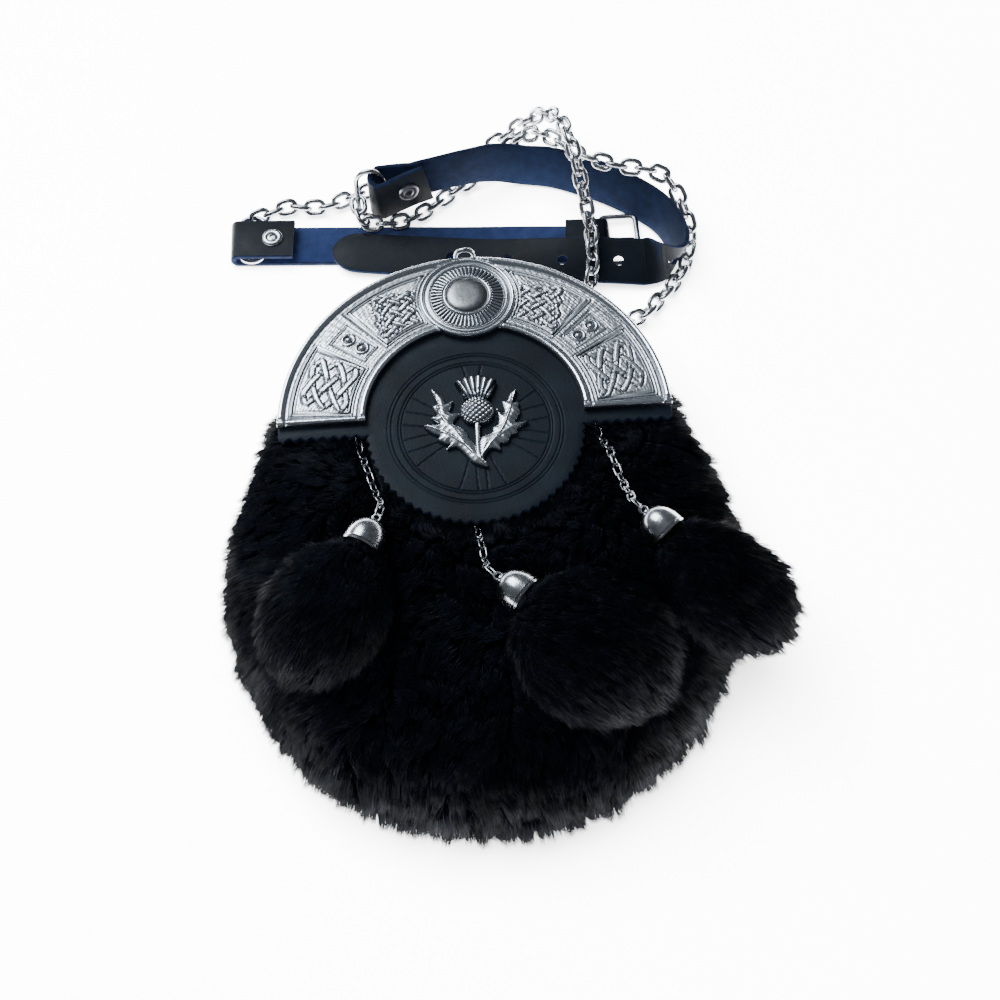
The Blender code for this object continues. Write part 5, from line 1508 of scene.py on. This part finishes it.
def signed_distance(points, outline):
    """Distance from an outline, less than nothing inside it."""
    best, _ = nearest_on_path(points, np.concatenate([outline, outline[:1]]))
    inside = np.zeros(len(points), bool)
    x, y = points.T
    for a, b in zip(outline, np.roll(outline, -1, axis=0)):
        crosses = (a[1] <= y) != (b[1] <= y)
        with np.errstate(divide="ignore", invalid="ignore"):
            meet = (b[0] - a[0]) * (y - a[1]) / (b[1] - a[1]) + a[0]
        inside ^= crosses & (x < meet)
    return np.where(inside, -best, best)


def relief(outline, surface):
    """A closed relief over an outline; surface gives height and patina from x, y, depth."""
    cell = THISTLE_CELL
    low, high = outline.min(0) - 2 * cell, outline.max(0) + 2 * cell
    xs, ys = np.arange(low[0], high[0], cell), np.arange(low[1], high[1], cell)
    grid = np.stack(np.meshgrid(xs, ys, indexing="ij"), axis=-1)
    away = signed_distance(grid.reshape(-1, 2), outline).reshape(grid.shape[:2])
    slope = unit(np.stack(np.gradient(away, cell), axis=-1))
    usable = away < 0.5 * cell
    cells = usable[:-1, :-1] & usable[1:, :-1] & usable[1:, 1:] & usable[:-1, 1:]
    index = np.arange(away.size).reshape(away.shape)
    quads = np.column_stack([
        part[cells] for part in (index[:-1, :-1], index[1:, :-1], index[1:, 1:], index[:-1, 1:])
    ])
    edges = np.concatenate([quads[:, (k, (k + 1) % 4)] for k in range(4)])
    known = {tuple(edge) for edge in edges.tolist()}
    border = np.array([edge for edge in known if (edge[1], edge[0]) not in known])
    flat = grid.reshape(-1, 2).copy()
    rim = np.unique(border)
    flat[rim] -= slope.reshape(-1, 2)[rim] * np.clip(away.ravel()[rim], -cell, cell)[:, None]
    depth = np.maximum(-away.ravel(), 0.0)
    depth[rim] = 0.0
    height, patina = surface(flat[:, 0], flat[:, 1], depth)
    used, numbered = np.unique(quads, return_inverse=True)
    numbered = numbered.reshape(quads.shape)
    top = np.column_stack([flat[used], height[used]])
    low_points = np.column_stack([flat[used], np.full(len(used), CANTLE_BOTTOM)])
    lookup = {old: new for new, old in enumerate(used.tolist())}
    count = len(used)
    sides = []
    for a, b in sorted(map(tuple, border.tolist())):
        sides.append((lookup[b], lookup[a], lookup[a] + count, lookup[b] + count))
    faces = np.concatenate([numbered, numbered[:, ::-1] + count, np.array(sides)])
    values = np.concatenate([patina[used], np.full(count, 0.6)])
    return (np.concatenate([top, low_points]), faces), values


def leaf_surface(veins, lift):
    """Leaf height: domed lobes with raised veins and fine hatching."""

    def surface(x, y, depth):
        flat = np.column_stack([x, y])
        body = 0.7 + 1.3 * np.sqrt(np.clip(depth / 2.2, 0.0, 1.0))
        near = np.minimum.reduce([nearest_on_path(flat, rounded(vein, 4))[0] for vein in veins])
        ridge = hump(near, 0.55)
        spine, _ = nearest_on_path(flat, rounded(veins[0], 6))
        lines = np.cos(2 * math.pi * (0.72 * y + 0.55 * spine) / 1.25)
        hatch = 0.05 * lines * smooth_step((near - 0.5) / 0.8) * smooth_step(depth / 0.5)
        height = CANTLE_BOTTOM + lift + body + 0.4 * ridge + hatch
        patina = np.clip(0.46 - 0.45 * ridge - 0.24 * lines - 0.1 * body, 0.0, 1.0)
        return height, np.where(depth < 0.25, 0.1, patina)

    return surface


def crown_surface(x, y, depth):
    angle = np.arctan2(y - 2.0, x - 0.9)
    rays = np.cos(angle * 34.0)
    fan = np.clip((y - 6.5) / 10.0, 0.0, 1.0)
    body = 1.2 + 1.5 * np.sqrt(np.clip(depth / 1.4, 0.0, 1.0)) + 0.5 * fan
    height = CANTLE_BOTTOM + body + 0.34 * rays * smooth_step(depth / 0.4)
    return height, np.clip(0.5 - 0.6 * rays, 0.0, 1.0)


def stem_surface(x, y, depth):
    lines = np.cos(2 * math.pi * x / 0.9)
    height = CANTLE_BOTTOM + 1.4 + 1.1 * np.sqrt(np.clip(depth / 1.5, 0.0, 1.0)) + 0.1 * lines
    return height, np.clip(0.35 - 0.4 * lines, 0.0, 1.0)


def globe_surface(x, y, depth):
    u = (x - GLOBE_MIDDLE[0]) / GLOBE_REACH[0]
    v = (y - GLOBE_MIDDLE[1]) / GLOBE_REACH[1]
    dome = np.sqrt(np.clip(1.0 - u * u - v * v, 0.0, 1.0))
    across, down = np.arcsin(np.clip(u, -1, 1)) * 7.5, np.arcsin(np.clip(v, -1, 1)) * 8.0
    scales = np.abs(np.sin(across + down)) * np.abs(np.sin(across - down))
    height = CANTLE_BOTTOM + 1.3 + 2.7 * dome + 0.55 * scales * smooth_step(dome / 0.4)
    return height, np.clip(0.95 - 1.15 * scales, 0.0, 1.0)


def make_thistle():
    rows = (
        ("leaf_left", rounded(LEAF_LEFT, 3, True), leaf_surface(VEINS_LEFT, 0.3)),
        ("leaf_right", rounded(LEAF_RIGHT, 3, True), leaf_surface(VEINS_RIGHT, 0.3)),
        ("stem", rounded(STEM, 3, True), stem_surface),
        ("crown", rounded(CROWN, 3, True), crown_surface),
        ("globe", np.array(GLOBE_MIDDLE) + arc(1.0, 0.0, 352.5, 47) * GLOBE_REACH, globe_surface),
    )
    for name, outline, surface in rows:
        shape, patina = relief(outline, surface)
        keep_cast(f"thistle_{name}", shape, patina, "thistle_badge", smooth=55.0)


# Floor, light and camera


def make_floor():
    material = new_material("floor", (0.93, 0.93, 0.93), 0.9)
    tint(material, noise(material, 3.0), (0.92, 0.92, 0.92), (0.95, 0.95, 0.95))
    shader = shader_of(material)
    shader.inputs["Emission Color"].default_value = (1.0, 1.0, 1.0, 1.0)
    shader.inputs["Emission Strength"].default_value = 2.2
    reach = 4000.0
    corners = [(reach * x, reach * y, -0.05) for x, y in ((-1, -1), (1, -1), (1, 1), (-1, 1))]
    floor = new_object("floor", corners, [(0, 1, 2, 3)], material)
    return floor


def add_area(name, place, target, size, power, colour=(1.0, 1.0, 1.0)):
    light = bpy.data.lights.new(name, "AREA")
    light.shape = "RECTANGLE"
    light.size, light.size_y = size
    light.energy = power
    light.color = colour
    obj = bpy.data.objects.new(name, light)
    bpy.context.scene.collection.objects.link(obj)
    obj.location = place
    aim = Vector(target) - Vector(place)
    obj.rotation_euler = aim.to_track_quat("-Z", "Y").to_euler()
    return obj


def make_light(floor):
    world = bpy.data.worlds.new("studio")
    bpy.context.scene.world = world
    world.use_nodes = True
    back = world.node_tree.nodes["Background"]
    back.inputs["Color"].default_value = (0.82, 0.91, 1.0, 1.0)
    back.inputs["Strength"].default_value = 0.14
    add_area("key", (-0.54, 0.68, 1.0), (0.0, 0.0, 0.0), (0.75, 0.75), 26.0, (0.88, 0.95, 1.0))
    fill = add_area("fill", (-0.4, -0.9, 1.5), (0.0, -0.05, 0.0), (1.6, 1.2), 26.0)
    fill.visible_glossy = False
    wash = add_area("floor_wash", (-0.5, 0.3, 2.2), (0.0, 0.0, 0.0), (2.4, 2.4), 760.0)
    wash.visible_glossy = False
    receivers = bpy.data.collections.new("floor_only")
    receivers.objects.link(floor)
    wash.light_linking.receiver_collection = receivers


def make_camera():
    camera = bpy.data.cameras.new("camera")
    camera.lens = 54.0
    camera.sensor_width = 36.0
    camera.clip_end = 50.0
    obj = bpy.data.objects.new("camera", camera)
    bpy.context.scene.collection.objects.link(obj)
    ahead = unit(CAMERA_AHEAD)
    right = unit(np.cross(ahead, unit(CAMERA_UP)))
    up = np.cross(right, ahead)
    turn = Matrix((right, up, -ahead)).transposed().to_4x4()
    obj.matrix_world = Matrix.Translation(Vector(CAMERA_PLACE) * MM) @ turn
    bpy.context.scene.camera = obj


make_pouch()
make_stitches()
make_hide()
make_pouch_fur()
for number, tassel in enumerate(TASSELS):
    make_tassel(tassel, 21 + number)
    make_cap(tassel)
make_belt_chains()
for tassel in TASSELS:
    make_tassel_chain(tassel)
make_flap()
make_flap_fold()
make_straps()
make_rings()
make_buckle()
make_back_loops()
make_staple()
make_cantle()
make_medallion()
make_thistle()
make_light(make_floor())
make_camera()
